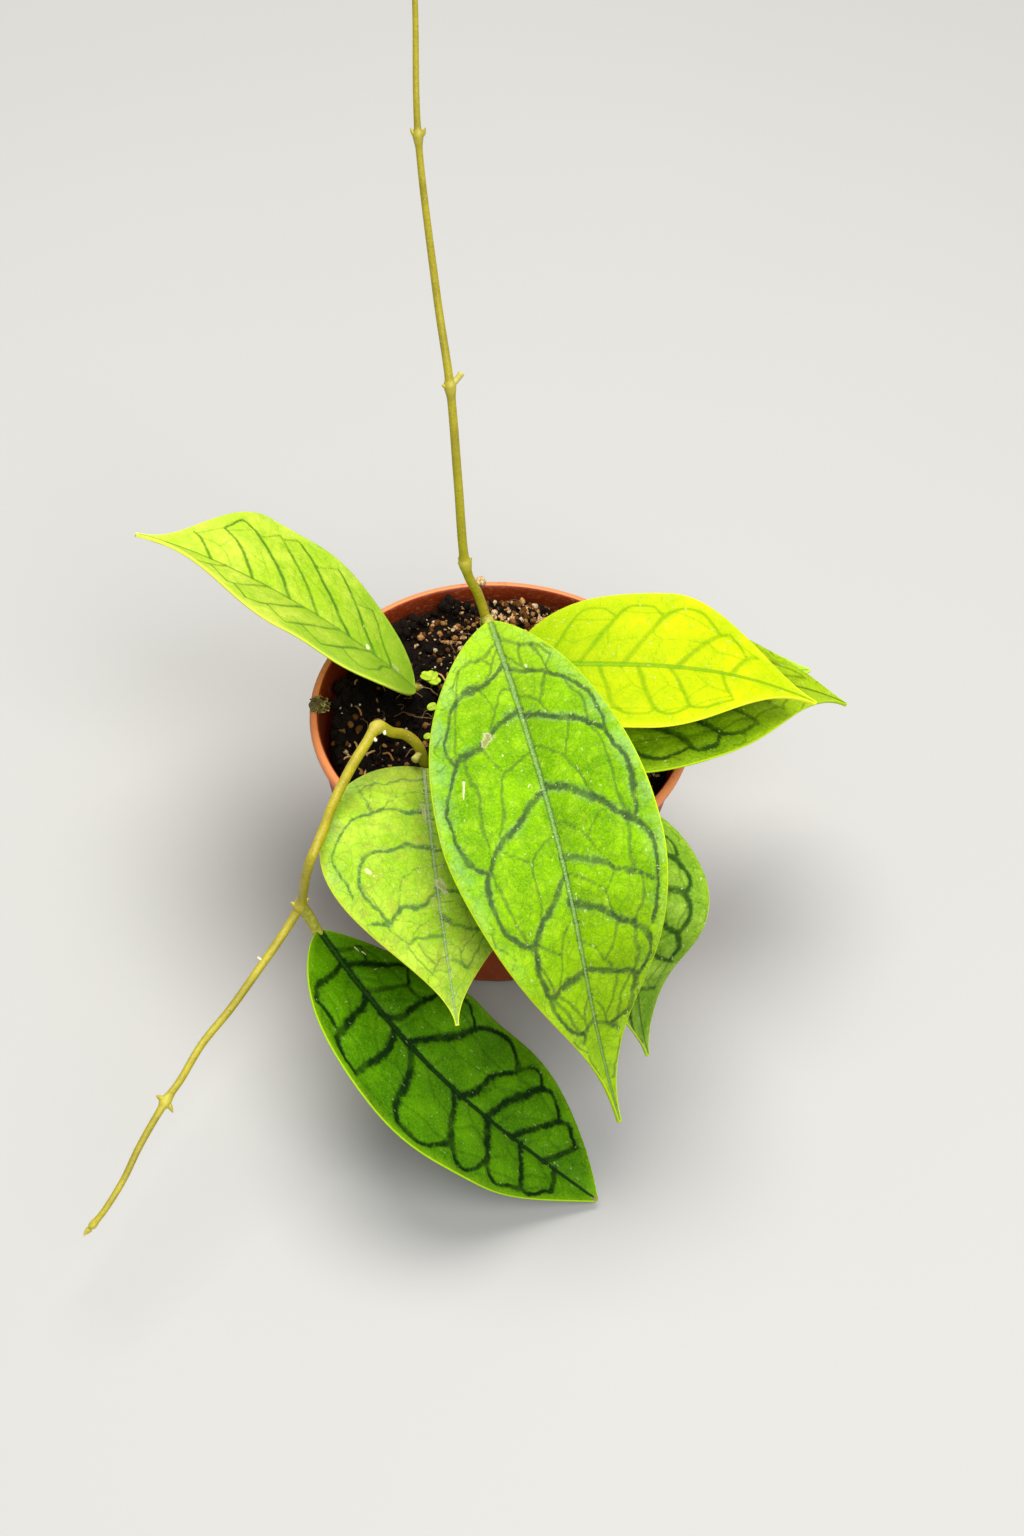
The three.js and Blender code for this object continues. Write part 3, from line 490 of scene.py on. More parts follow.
class PlantSizes(bpy.types.PropertyGroup):
    """Sizes of the plant's finer forms."""

    blade: FloatProperty(
        name="Blade thickness", description="Thickness of a leaf away from its edge",
        default=0.9 * MM, min=0.3 * MM, max=2 * MM, unit="LENGTH",
    )
    furrow: FloatProperty(
        name="Vein depth", description="How far the veins lie below the upper face",
        default=0.32 * MM, min=0, max=1 * MM, unit="LENGTH",
    )
    pillow: FloatProperty(
        name="Field height", description="How far the blade bulges between its veins",
        default=0.5 * MM, min=0, max=1.5 * MM, unit="LENGTH",
    )
    keel: FloatProperty(
        name="Keel height", description="How far the middle rib stands out underneath",
        default=0.9 * MM, min=0, max=2 * MM, unit="LENGTH",
    )
    stem_sides: IntProperty(
        name="Stem sides", description="Sides of a stem's ring", default=20, min=8, max=48,
    )


class MixSizes(bpy.types.PropertyGroup):
    """Amounts and colours of the potting mix."""

    crumb_density: FloatProperty(
        name="Peat crumbs", description="Peat crumbs on each square metre",
        default=280000, min=0, max=500000,
    )
    bark_density: FloatProperty(
        name="Bark granules", description="Bark granules on each square metre of the heap",
        default=620000, min=0, max=900000,
    )
    seed: IntProperty(name="Seed", description="Start of the random placing", default=5, min=0)
    peat: FloatVectorProperty(
        name="Peat", description="Colour of damp peat", subtype="COLOR", min=0, max=1,
        default=colour("1a0e06")[:3],
    )
    bark: FloatVectorProperty(
        name="Bark", description="Colour of dry bark granules", subtype="COLOR", min=0, max=1,
        default=colour("e0a662")[:3],
    )


class PotSizes(bpy.types.PropertyGroup):
    """Fineness and colours of the pot."""

    sides: IntProperty(
        name="Pot sides", description="Sides of the turned pot", default=192, min=24, max=360,
    )
    plastic: FloatVectorProperty(
        name="Plastic", description="Colour of the pot's wall", subtype="COLOR", min=0, max=1,
        default=colour("cc5620")[:3],
    )
    # The lip is painted paler than the wall: a painted highlight along the rolled lip.
    lip: FloatVectorProperty(
        name="Lip", description="Colour of the rolled lip", subtype="COLOR", min=0, max=1,
        default=colour("fa9e60")[:3],
    )


class StageSettings(bpy.types.PropertyGroup):
    """Floor, lamps and sky of the studio."""

    floor: FloatVectorProperty(
        name="Floor", description="Colour of the floor", subtype="COLOR", min=0, max=1,
        default=(0.42, 0.415, 0.4),
    )
    key_power: FloatProperty(
        name="Key lamp", description="Power of the lamp behind the plant", default=23,
        min=0, unit="POWER",
    )
    fill_power: FloatProperty(
        name="Fill lamp", description="Power of the lamp in front", default=26, min=0,
        unit="POWER",
    )
    sky: FloatProperty(
        name="Sky", description="Strength of the even light", default=0.38, min=0, max=5,
    )


# Node trees


class Tree:
    """A node tree that is put together by nested calls."""

    def __init__(self, tree):
        self.tree = tree

    def add(self, kind, inputs=None, output=0, **settings):
        """Adds a node. inputs maps a socket's name or number to a value or to an output."""
        node = self.tree.nodes.new(kind)
        for key, value in settings.items():
            setattr(node, key, value)
        for key, value in (inputs or {}).items():
            if isinstance(value, bpy.types.NodeSocket):
                self.tree.links.new(value, node.inputs[key])
            else:
                node.inputs[key].default_value = value
        return node.outputs[output]

    def math(self, operation, a, b=0.0):
        return self.add("ShaderNodeMath", {0: a, 1: b}, operation=operation)

    def times(self, first, *others):
        for other in others:
            first = self.math("MULTIPLY", first, other)
        return first

    def vector_math(self, operation, a, b):
        return self.add("ShaderNodeVectorMath", {0: a, 1: b}, operation=operation)

    def stretch(self, vector, amount):
        inputs = {0: vector, "Scale": amount}
        return self.add("ShaderNodeVectorMath", inputs, operation="SCALE")

    def in_millimetres(self, where):
        return self.vector_math("MULTIPLY", where, (1 / MM,) * 3)

    def noise(self, where, scale, detail=2.0, roughness=0.5, output=0):
        inputs = {"Vector": where, "Scale": scale, "Detail": detail, "Roughness": roughness}
        return self.add("ShaderNodeTexNoise", inputs, output)

    def push(self, where, scale, detail, amount):
        """A smoothly changing vector, up to about half the amount each way."""
        drawn = self.noise(where, scale, detail, output=1)
        return self.stretch(self.vector_math("SUBTRACT", drawn, (0.5, 0.5, 0.5)), amount)


class Finish(Tree):
    """A material's nodes. Positions are in millimetres: of the object, or of the flat blade."""

    def __init__(self, name):
        self.material = bpy.data.materials.new(name)
        self.material.use_nodes = True
        super().__init__(self.material.node_tree)
        self.tree.nodes.clear()

    def places(self):
        return self.in_millimetres(self.add("ShaderNodeTexCoord", output=3))

    def flat(self):
        where = self.add("ShaderNodeUVMap", uv_map="flat")
        return self.vector_math("MULTIPLY", where, (1 / FLAT, 1 / FLAT, 0.0))

    def value(self, attribute):
        return self.add("ShaderNodeAttribute", output=2, attribute_name=attribute)

    def between(self, value, start, end, low=0.0, high=1.0):
        """Goes smoothly from low to high while the value goes from start to end."""
        flip = start > end
        inputs = {
            "Value": value, "From Min": min(start, end), "From Max": max(start, end),
            "To Min": high if flip else low, "To Max": low if flip else high,
        }
        return self.add("ShaderNodeMapRange", inputs, interpolation_type="SMOOTHSTEP")

    def below(self, value, start, end):
        """Goes smoothly from 1 to 0 while the value goes from start to end."""
        return self.between(value, start, end, 1.0, 0.0)

    def mix(self, factor, a, b):
        """a and b are outputs, colours or six hex digits."""
        a, b = (colour(shade) if isinstance(shade, str) else shade for shade in (a, b))
        return self.add("ShaderNodeMix", {0: factor, 6: a, 7: b}, 2, data_type="RGBA")

    def coated(self, base, coats):
        """Lays coats over the base in order. Each is a mask, its strength and a colour."""
        for mask, strength, shade in coats:
            base = self.mix(self.times(mask, strength), base, shade)
        return base

    def cells(self, where, scale, feature="F1", output=0):
        inputs = {"Vector": where, "Scale": scale}
        return self.add("ShaderNodeTexVoronoi", inputs, output, feature=feature)

    def cell_value(self, where, scale, channel=0):
        """A random number for each cell: one channel of its random colour."""
        shade = self.cells(where, scale, output=1)
        return self.add("ShaderNodeSeparateColor", {0: shade}, channel)

    def bump(self, height, distance, strength):
        inputs = {"Height": height, "Distance": distance * MM, "Strength": strength}
        return self.add("ShaderNodeBump", inputs)

    def finish(self, base, roughness, normal=None, through=None, **constants):
        """The surface. through is a share and a colour of the light that passes the sheet."""
        inputs = {"Base Color": base, "Roughness": roughness}
        if normal is not None:
            inputs["Normal"] = normal
        for name, value in constants.items():
            inputs[name.replace("_", " ")] = value
        surface = self.add("ShaderNodeBsdfPrincipled", inputs)
        if through is not None:
            share, tint = through
            glow = self.add("ShaderNodeBsdfTranslucent", {"Color": tint})
            surface = self.add("ShaderNodeMixShader", {0: share, 1: surface, 2: glow})
        end = self.tree.nodes.new("ShaderNodeOutputMaterial")
        self.tree.links.new(surface, end.inputs["Surface"])
        return self.material


class Grower(Tree):
    """A Geometry Nodes tree with named inputs, which ends in a plain mesh with a finish."""

    KINDS = {
        "geometry": "NodeSocketGeometry", "float": "NodeSocketFloat", "int": "NodeSocketInt",
        "text": "NodeSocketString", "finish": "NodeSocketMaterial",
    }

    def __init__(self, name, **sockets):
        super().__init__(bpy.data.node_groups.new(name, "GeometryNodeTree"))
        self.names = {}
        for socket, kind in {"geometry": "geometry", **sockets, "finish": "finish"}.items():
            made = self.tree.interface.new_socket(
                name=socket.replace("_", " "), in_out="INPUT", socket_type=self.KINDS[kind])
            self.names[socket] = made.identifier
        self.tree.interface.new_socket(
            name="Mesh", in_out="OUTPUT", socket_type="NodeSocketGeometry")
        self.start = self.tree.nodes.new("NodeGroupInput")

    def given(self, socket):
        return self.start.outputs[socket.replace("_", " ")]

    def attribute(self, name):
        return self.add("GeometryNodeInputNamedAttribute", {"Name": name}, data_type="FLOAT")

    def drawn(self, low, high, seed):
        """A random number at each point, or a random vector where the limits are vectors."""
        if isinstance(low, tuple):
            inputs, output, kind = {0: low, 1: high, "Seed": seed}, 0, "FLOAT_VECTOR"
        else:
            inputs, output, kind = {2: low, 3: high, "Seed": seed}, 1, "FLOAT"
        return self.add("FunctionNodeRandomValue", inputs, output, data_type=kind)

    def spots(self, tone_seed):
        """Points on the given surface, denser where a named value is high, each with a tone."""
        density = self.times(self.given("density"), self.attribute(self.given("where")))
        points = self.add("GeometryNodeDistributePointsOnFaces", {
            "Mesh": self.given("geometry"), "Seed": self.given("seed"), "Density": density})
        inputs = {"Geometry": points, "Name": "tone", "Value": self.drawn(0.0, 1.0, tone_seed)}
        return self.add("GeometryNodeStoreNamedAttribute", inputs, data_type="FLOAT",
                        domain="POINT")

    def copies(self, points, shape, **inputs):
        """A real copy of the shape at each of the points."""
        inputs.update(Points=points, Instance=shape)
        made = self.add("GeometryNodeInstanceOnPoints", inputs)
        return self.add("GeometryNodeRealizeInstances", {"Geometry": made})

    def shaken(self, geometry, scale, amount):
        """The same geometry, pushed about smoothly and lifted by the given lift."""
        where = self.in_millimetres(self.add("GeometryNodeInputPosition"))
        lift = self.add("ShaderNodeCombineXYZ", {"Z": self.given("lift")})
        offset = self.vector_math("ADD", self.push(where, scale, 2.0, amount), lift)
        return self.add("GeometryNodeSetPosition", {"Geometry": geometry, "Offset": offset})

    def skin(self, lines, sides, thickness):
        """A closed round skin along curves."""
        ring = self.add("GeometryNodeCurvePrimitiveCircle", {"Resolution": sides, "Radius": 1.0})
        return self.add("GeometryNodeCurveToMesh", {
            "Curve": lines, "Profile Curve": ring, "Scale": thickness, "Fill Caps": True})

    def end(self, geometry):
        """Makes everything smooth and real, gives it the finish and closes the tree."""
        geometry = self.add("GeometryNodeSetShadeSmooth", {"Geometry": geometry,
                                                           "Shade Smooth": True})
        geometry = self.add("GeometryNodeRealizeInstances", {"Geometry": geometry})
        inputs = {"Geometry": geometry, "Material": self.given("finish")}
        geometry = self.add("GeometryNodeSetMaterial", inputs)
        end = self.tree.nodes.new("NodeGroupOutput")
        self.tree.links.new(geometry, end.inputs[0])
        return self

    def grow(self, name, source, **values):
        """Runs the tree on a source object and keeps the result as a plain mesh object."""
        modifier = source.modifiers.new("grow", "NODES")
        modifier.node_group = self.tree
        for socket, value in values.items():
            modifier[self.names[socket]] = value
        graph = bpy.context.evaluated_depsgraph_get()
        mesh = bpy.data.meshes.new_from_object(source.evaluated_get(graph))
        source.modifiers.clear()
        if not mesh.polygons:
            raise RuntimeError(f"{name} came out empty")
        bpy.data.objects.remove(source)
        mesh.name = name
        return placed(name, mesh)


# Meshes


def placed(name, mesh):
    piece = bpy.data.objects.new(name, mesh)
    bpy.context.scene.collection.objects.link(piece)
    return piece


def kept(piece, slot, *nodes):
    """Says what a finished piece rides on and stands for. The slot, which would say what it takes its
    finish from, is not used.
    """
    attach(piece, "root")
    if nodes:
        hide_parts(*nodes)


class Shell:
    """Points, faces and point values of a piece while it is put together."""

    def __init__(self):
        self.points = []
        self.faces = []
        self.finishes = []
        self.values = {}
        self.count = 0

    def add(self, points, faces, finish=0, **values):
        self.points.append(np.asarray(points, float))
        self.faces += [[corner + self.count for corner in face] for face in faces]
        self.finishes += [finish] * len(faces)
        for name, given in values.items():
            self.values.setdefault(name, []).append((self.count, given))
        self.count += len(points)
        return self

    def piece(self, name, finishes, flat=None):
        mesh = bpy.data.meshes.new(name)
        mesh.from_pydata((np.concatenate(self.points) * MM).tolist(), [], self.faces)
        mesh.polygons.foreach_set("material_index", self.finishes)
        mesh.polygons.foreach_set("use_smooth", [True] * len(mesh.polygons))
        for finish in finishes:
            mesh.materials.append(finish)
        for label, given in self.values.items():
            whole = np.zeros(self.count, np.float32)
            for start, part in given:
                whole[start:start + len(part)] = part
            mesh.attributes.new(label, "FLOAT", "POINT").data.foreach_set("value", whole)
        if flat is not None:
            corners = np.zeros(len(mesh.loops), np.int32)
            mesh.loops.foreach_get("vertex_index", corners)
            whole = np.zeros((self.count, 2), np.float32)
            whole[:len(flat)] = flat
            layer = mesh.uv_layers.new(name="flat")
            layer.data.foreach_set("uv", whole[corners].ravel())
        if mesh.validate(verbose=False):
            raise RuntimeError(f"{name} has faces that Blender had to mend")
        mesh.update()
        return placed(name, mesh)


def smooth_route(points, spans):
    """A Catmull-Rom curve through the points, with an equal number of steps in each span."""
    given = np.asarray(points, float)
    given = np.vstack([2 * given[0] - given[1], given, 2 * given[-1] - given[-2]])
    found = []
    for i in range(1, len(given) - 2):
        before, start, end, after = given[i - 1:i + 3]
        for u in np.arange(spans) / spans:
            found.append(0.5 * (
                2 * start + (end - before) * u
                + (2 * before - 5 * start + 4 * end - after) * u ** 2
                + (3 * start - before - 3 * end + after) * u ** 3))
    found.append(given[-2])
    return np.array(found)


def lengths_along(route):
    steps = np.linalg.norm(np.diff(route, axis=0), axis=1)
    return np.concatenate([[0.0], np.cumsum(steps)])


def evenly(route, step):
    """The same route with its points an equal distance apart."""
    along = lengths_along(route)
    count = max(4, int(round(along[-1] / step)))
    wanted = np.linspace(0, along[-1], count + 1)
    return np.stack([np.interp(wanted, along, route[:, k]) for k in range(3)], 1), wanted


def tube(route, radii, sides):
    """A closed round tube along a route: its points and faces."""
    route = np.asarray(route, float)
    heading = np.gradient(route, axis=0)
    heading /= np.linalg.norm(heading, axis=1)[:, None]
    side = np.cross(heading[0], [0.3, 0.9, 0.31])
    side /= np.linalg.norm(side)
    turn = np.arange(sides) / sides * TURN
    points = []
    for place, ahead, radius in zip(route, heading, radii):
        side = side - ahead * (side @ ahead)
        side /= np.linalg.norm(side)
        other = np.cross(ahead, side)
        ring = np.outer(np.cos(turn), side) + np.outer(np.sin(turn), other)
        points.append(place + radius * ring)
    points.append([route[0], route[-1]])
    points = np.concatenate(points)
    faces = []
    rings = len(route)
    for i in range(rings - 1):
        for k in range(sides):
            n = (k + 1) % sides
            faces.append((i * sides + k, i * sides + n, (i + 1) * sides + n, (i + 1) * sides + k))
    first, last = rings * sides, rings * sides + 1
    for k in range(sides):
        n = (k + 1) % sides
        faces.append((first, n, k))
        faces.append((last, (rings - 1) * sides + k, (rings - 1) * sides + n))
    return points, faces


# Leaves


def bezier(points, u):
    a, b, c, d = np.asarray(points, float)
    u = np.asarray(u)[..., None]
    return (1 - u) ** 3 * a + 3 * (1 - u) ** 2 * u * b + 3 * (1 - u) * u ** 2 * c + u ** 3 * d


class Blade:
    """The upper face of a leaf: t runs from base to tip, s from -1 at the left edge to 1."""

    STEPS = 400

    def __init__(self, leaf):
        self.leaf = leaf
        self.u = np.linspace(0, 1, self.STEPS + 1)
        self.along = lengths_along(bezier(leaf["midrib"], self.u))
        self.length = self.along[-1]

    def midrib(self, t):
        u = np.interp(np.asarray(t) * self.length, self.along, self.u)
        ahead = bezier(self.leaf["midrib"], np.clip(u + 1e-4, 0, 1))
        heading = ahead - bezier(self.leaf["midrib"], np.clip(u - 1e-4, 0, 1))
        heading /= np.linalg.norm(heading, axis=-1)[..., None]
        return bezier(self.leaf["midrib"], u), heading

    def half_width(self, t, side):
        """side is 0 for the left and 1 for the right."""
        widest = np.asarray(self.leaf["widest"], float)[side]
        full = np.asarray(self.leaf["half_width"], float)[side]
        base = (1 - (1 - np.clip(t / widest, 0, 1)) ** 2) ** self.leaf["fullness"]
        past = np.clip((t - widest) / (1 - widest), 0, 1)
        tip = (1 - past) ** self.leaf["draw"] * (1 + self.leaf["draw"] * past)
        return BLUNT + (full - BLUNT) * np.where(t < widest, base, tip)

    def places(self, t, s):
        """Points of the upper face, and the same places on the flat blade, in millimetres."""
        leaf = self.leaf
        middle, heading = self.midrib(t)
        level = np.cross(heading, [0.0, 0.0, 1.0])
        level /= np.linalg.norm(level, axis=-1)[..., None]
        raised = np.cross(level, heading)
        roll = np.radians(leaf["roll"][0] + (leaf["roll"][1] - leaf["roll"][0]) * t)[..., None]
        sideways = np.cos(roll) * level + np.sin(roll) * raised
        up = np.cos(roll) * raised - np.sin(roll) * level
        side = (s >= 0).astype(int)
        across = np.abs(s)
        reach = self.half_width(t, side) * across
        tilt = np.radians(np.asarray(leaf["fold"], float)[side] - leaf["curl"] * across / 2)
        ripple = np.sin(TURN * (leaf["waves"] * t + 0.37 * side)) * np.sin(math.pi * t)
        out = np.where(side == 1, reach, -reach)
        rise = reach * np.sin(tilt) + leaf["wave"] * across ** 2 * ripple
        points = middle + (out * np.cos(tilt))[..., None] * sideways + rise[..., None] * up
        return points, np.stack([out, t * self.length], -1)

    def flat_line(self, places):
        """A vein given as (t, s) places, as a smooth line on the flat blade."""
        route = smooth_route([(t, s, 0.0) for t, s in places], 6)
        t, s = np.clip(route[:, 0], 0, 1), np.clip(route[:, 1], -0.97, 0.97)
        return np.stack([s * self.half_width(t, (s >= 0).astype(int)), t * self.length], -1)


def pinnate(starts):
    """Side veins by rule: each leaves the midrib at a start and loops up to the next one."""
    veins = []
    for i, t in enumerate(starts):
        following = starts[i + 1] if i + 1 < len(starts) else t + 0.12
        strength = 0.6 + 0.4 * math.sin(math.pi * min(1.0, t + 0.15))
        line = [(t, 0), (t + 0.035, 0.3), (t + 0.07, 0.58), (t + 0.105, 0.77),
                ((t + following) / 2 + 0.11, 0.86), (following + 0.09, 0.72)]
        veins.append((strength, *[(min(0.96, at), s) for at, s in line]))
    return veins


def wander(spots, seed, much):
    """Pushes places about a little, smoothly, so that no line over them runs quite true."""
    draw = random.Random(seed)
    pushed = spots.copy()
    for shortest, longest, far, count in ((9.0, 17.0, 0.34, 6), (2.8, 6.0, 0.1, 7)):
        push = far * much
        for _ in range(count):
            way, phase = draw.uniform(0, TURN), draw.uniform(0, TURN)
            pace = TURN / draw.uniform(shortest, longest)
            wave = np.sin((spots[:, 0] * math.cos(way) + spots[:, 1] * math.sin(way)) * pace
                          + phase)
            to = draw.uniform(0, TURN)
            pushed[:, 0] += push * math.cos(to) * wave
            pushed[:, 1] += push * math.sin(to) * wave
    return pushed


def joined(lines):
    """Runs the end of each side vein on to the next one, where that is near."""
    REACH = 9.0
    for line, following in zip(lines, lines[1:]):
        away = np.linalg.norm(following[0] - line[0][-1], axis=1)
        if away.min() < REACH:
            line[0] = np.vstack([line[0], following[0][away.argmin()]])
            line[1] = np.append(line[1], line[1][-1])
    return lines


def side_veins(name):
    """Every side vein of a leaf as (strength, places), with s below 0 on the left."""
    found = []
    for sign, side in ((-1, "left"), (1, "right")):
        veins = VEINS[name][side]
        if isinstance(veins[0], float):
            veins = pinnate(veins)
        lines = [(v[0], [(t, sign * s) for t, s in v[1:]]) for v in veins]
        found.append(sorted(lines, key=lambda vein: vein[1][0][0]))
    return found


def reached(vein, out):
    """The first place on a side vein that is a given part of the way to the edge."""
    route = smooth_route([(t, s, 0) for t, s in vein], 6)
    far_enough = np.abs(route[:, 1]) >= out
    k = int(far_enough.argmax()) if far_enough.any() else len(route) - 1
    return route[k, 0], route[k, 1]


def cross_veins(sides, seed):
    """Weak veins between neighbouring side veins, and short ones from the midrib."""
    draw = random.Random(seed)
    lines = []
    for veins in sides:
        for (_, one), (_, two) in zip(veins, veins[1:]):
            if one[0][1] or two[0][1]:
                continue
            sign = math.copysign(1, one[1][1])
            start = (one[0][0] + two[0][0]) / 2 + draw.uniform(-0.01, 0.01)
            fork = (start + draw.uniform(0.03, 0.05), sign * draw.uniform(0.26, 0.36))
            lines.append([(start, 0), (start + 0.012, sign * 0.14), fork])
            ends = (reached(one, draw.uniform(0.42, 0.58)), reached(two, draw.uniform(0.36, 0.5)))
            for end in ends:
                bend = (fork[0] + end[0]) / 2 + draw.uniform(-0.012, 0.012)
                lines.append([fork, (bend, (fork[1] + end[1]) / 2), end])
            out = draw.uniform(0.62, 0.74)
            a, b = reached(one, out), reached(two, out + draw.uniform(-0.08, 0.0))
            bend = ((a[0] + b[0]) / 2, (a[1] + b[1]) / 2 + sign * draw.uniform(-0.06, 0.03))
            lines.append([a, bend, b])
    return lines


def margin_veins(sides, seed):
    """Small arches from the loops out towards the edge."""
    draw = random.Random(seed)
    lines = []
    for sign, veins in zip((-1, 1), sides):
        t = 0.1
        while t < 0.86:
            wide = draw.uniform(0.025, 0.06)
            out = draw.uniform(0.91, 0.96)
            lines.append([(t, sign * 0.84), (t + 0.25 * wide, sign * out)])
            if draw.random() < 0.25:
                lines[-1] += [(t + wide, sign * (out + 0.01)), (t + 1.3 * wide, sign * 0.86)]
            t += wide * 1.5
    return lines


def nearest_vein(places, lines):
    """The distance to the nearest line, plain and in half widths, and that line's strength."""
    plain = np.full(len(places), 1e3, np.float32)
    ratio = np.full(len(places), 9.0, np.float32)
    strong = np.zeros(len(places), np.float32)
    for line, wide, strength in lines:
        line = line.astype(np.float32)
        for k in range(len(line) - 1):
            start, step = line[k], line[k + 1] - line[k]
            span = max(float(step @ step), 1e-6)
            off = places - start
            part = np.clip((off @ step) / span, 0, 1)
            away = np.hypot(off[:, 0] - part * step[0], off[:, 1] - part * step[1])
            half = wide[k] + (wide[k + 1] - wide[k]) * part
            plain = np.minimum(plain, away)
            nearer = away / half < ratio
            ratio = np.where(nearer, away / half, ratio)
            strong = np.where(nearer, strength, strong)
    return plain, ratio, strong


def vein_lines(name, blade, look, seed):
    """The side veins and the weak veins: lines on the flat blade, half widths and a strength."""
    sides = side_veins(name)
    main = []
    for veins in sides:
        lines = []
        for strength, line in veins:
            path = blade.flat_line(line)
            taper = np.linspace(1.0, 0.7, len(path)) * look["width"] * (0.45 + 0.55 * strength)
            edge = blade.half_width(path[:, 1] / blade.length, (path[:, 0] >= 0).astype(int))
            looping = np.clip((np.abs(path[:, 0]) / edge - LOOP_START) / LOOP_SPAN, 0, 1)
            lines.append([path, taper * (1 - LOOP_THINNING * looping), strength])
        main += joined(lines)
    weak = []
    for lines, half in ((cross_veins(sides, seed), CROSS_VEIN),
                        (margin_veins(sides, seed + MARGIN_SEED), MARGIN_VEIN)):
        for line in lines:
            path = blade.flat_line(line)
            weak.append((path, np.full(len(path), half * look["width"]), WEAK_STRENGTH))
    return main, weak


def mark_lines(name, blade):
    """The dry marks of a leaf, in the form of its veins, with their tone as the strength."""
    found = []
    for start, end, half, tone in MARKS.get(name, []):
        line = np.array([[s * blade.half_width(t, int(s >= 0)), t * blade.length]
                         for t, s in (start, end)])
        found.append((line, [half, half * MARK_TAPER], tone))
    return found


def sheet_faces(rows, columns):
    """Faces of a closed sheet: an upper grid of points, a lower one and the rim between them."""
    width = columns + 1
    below = (rows + 1) * width
    faces = []
    for i in range(rows):
        for k in range(columns):
            a = i * width + k
            faces.append((a, a + 1, a + 1 + width, a + width))
            faces.append((below + a, below + a + width, below + a + width + 1, below + a + 1))
    for k in range(columns):
        a, z = k, rows * width + k
        faces.append((a, below + a, below + a + 1, a + 1))
        faces.append((z + 1, below + z + 1, below + z, z))
    for i in range(rows):
        a, z = i * width, i * width + columns
        faces.append((a + width, below + a + width, below + a, a))
        faces.append((z, below + z, below + z + width, z + width))
    return faces


def petiole(leaf, blade, thickness):
    """The leaf's stalk, which ends under its base: points, faces and how far along each is."""
    under_base = np.array([0.015, 0.05])
    base, _ = blade.places(under_base, np.zeros(2))
    _, heading = blade.midrib(under_base)
    up = np.cross(np.cross(heading, [0, 0, 1.0]), heading)
    up /= np.linalg.norm(up, axis=-1)[:, None]
    sink = leaf["petiole_radius"] + thickness
    route, along = evenly(smooth_route([*leaf["petiole"], *(base - up * sink)], 12), 0.5)
    part = along / along[-1]
    radii = leaf["petiole_radius"] * (1 - 0.12 * np.sin(math.pi * part) + 0.1 * (part > 0.9))
    radii[-1] *= 0.55
    radii[0] *= 0.9
    points, faces = tube(route, radii, PETIOLE_SIDES)
    return points, faces, np.concatenate([np.repeat(along, PETIOLE_SIDES), [0, 0]])


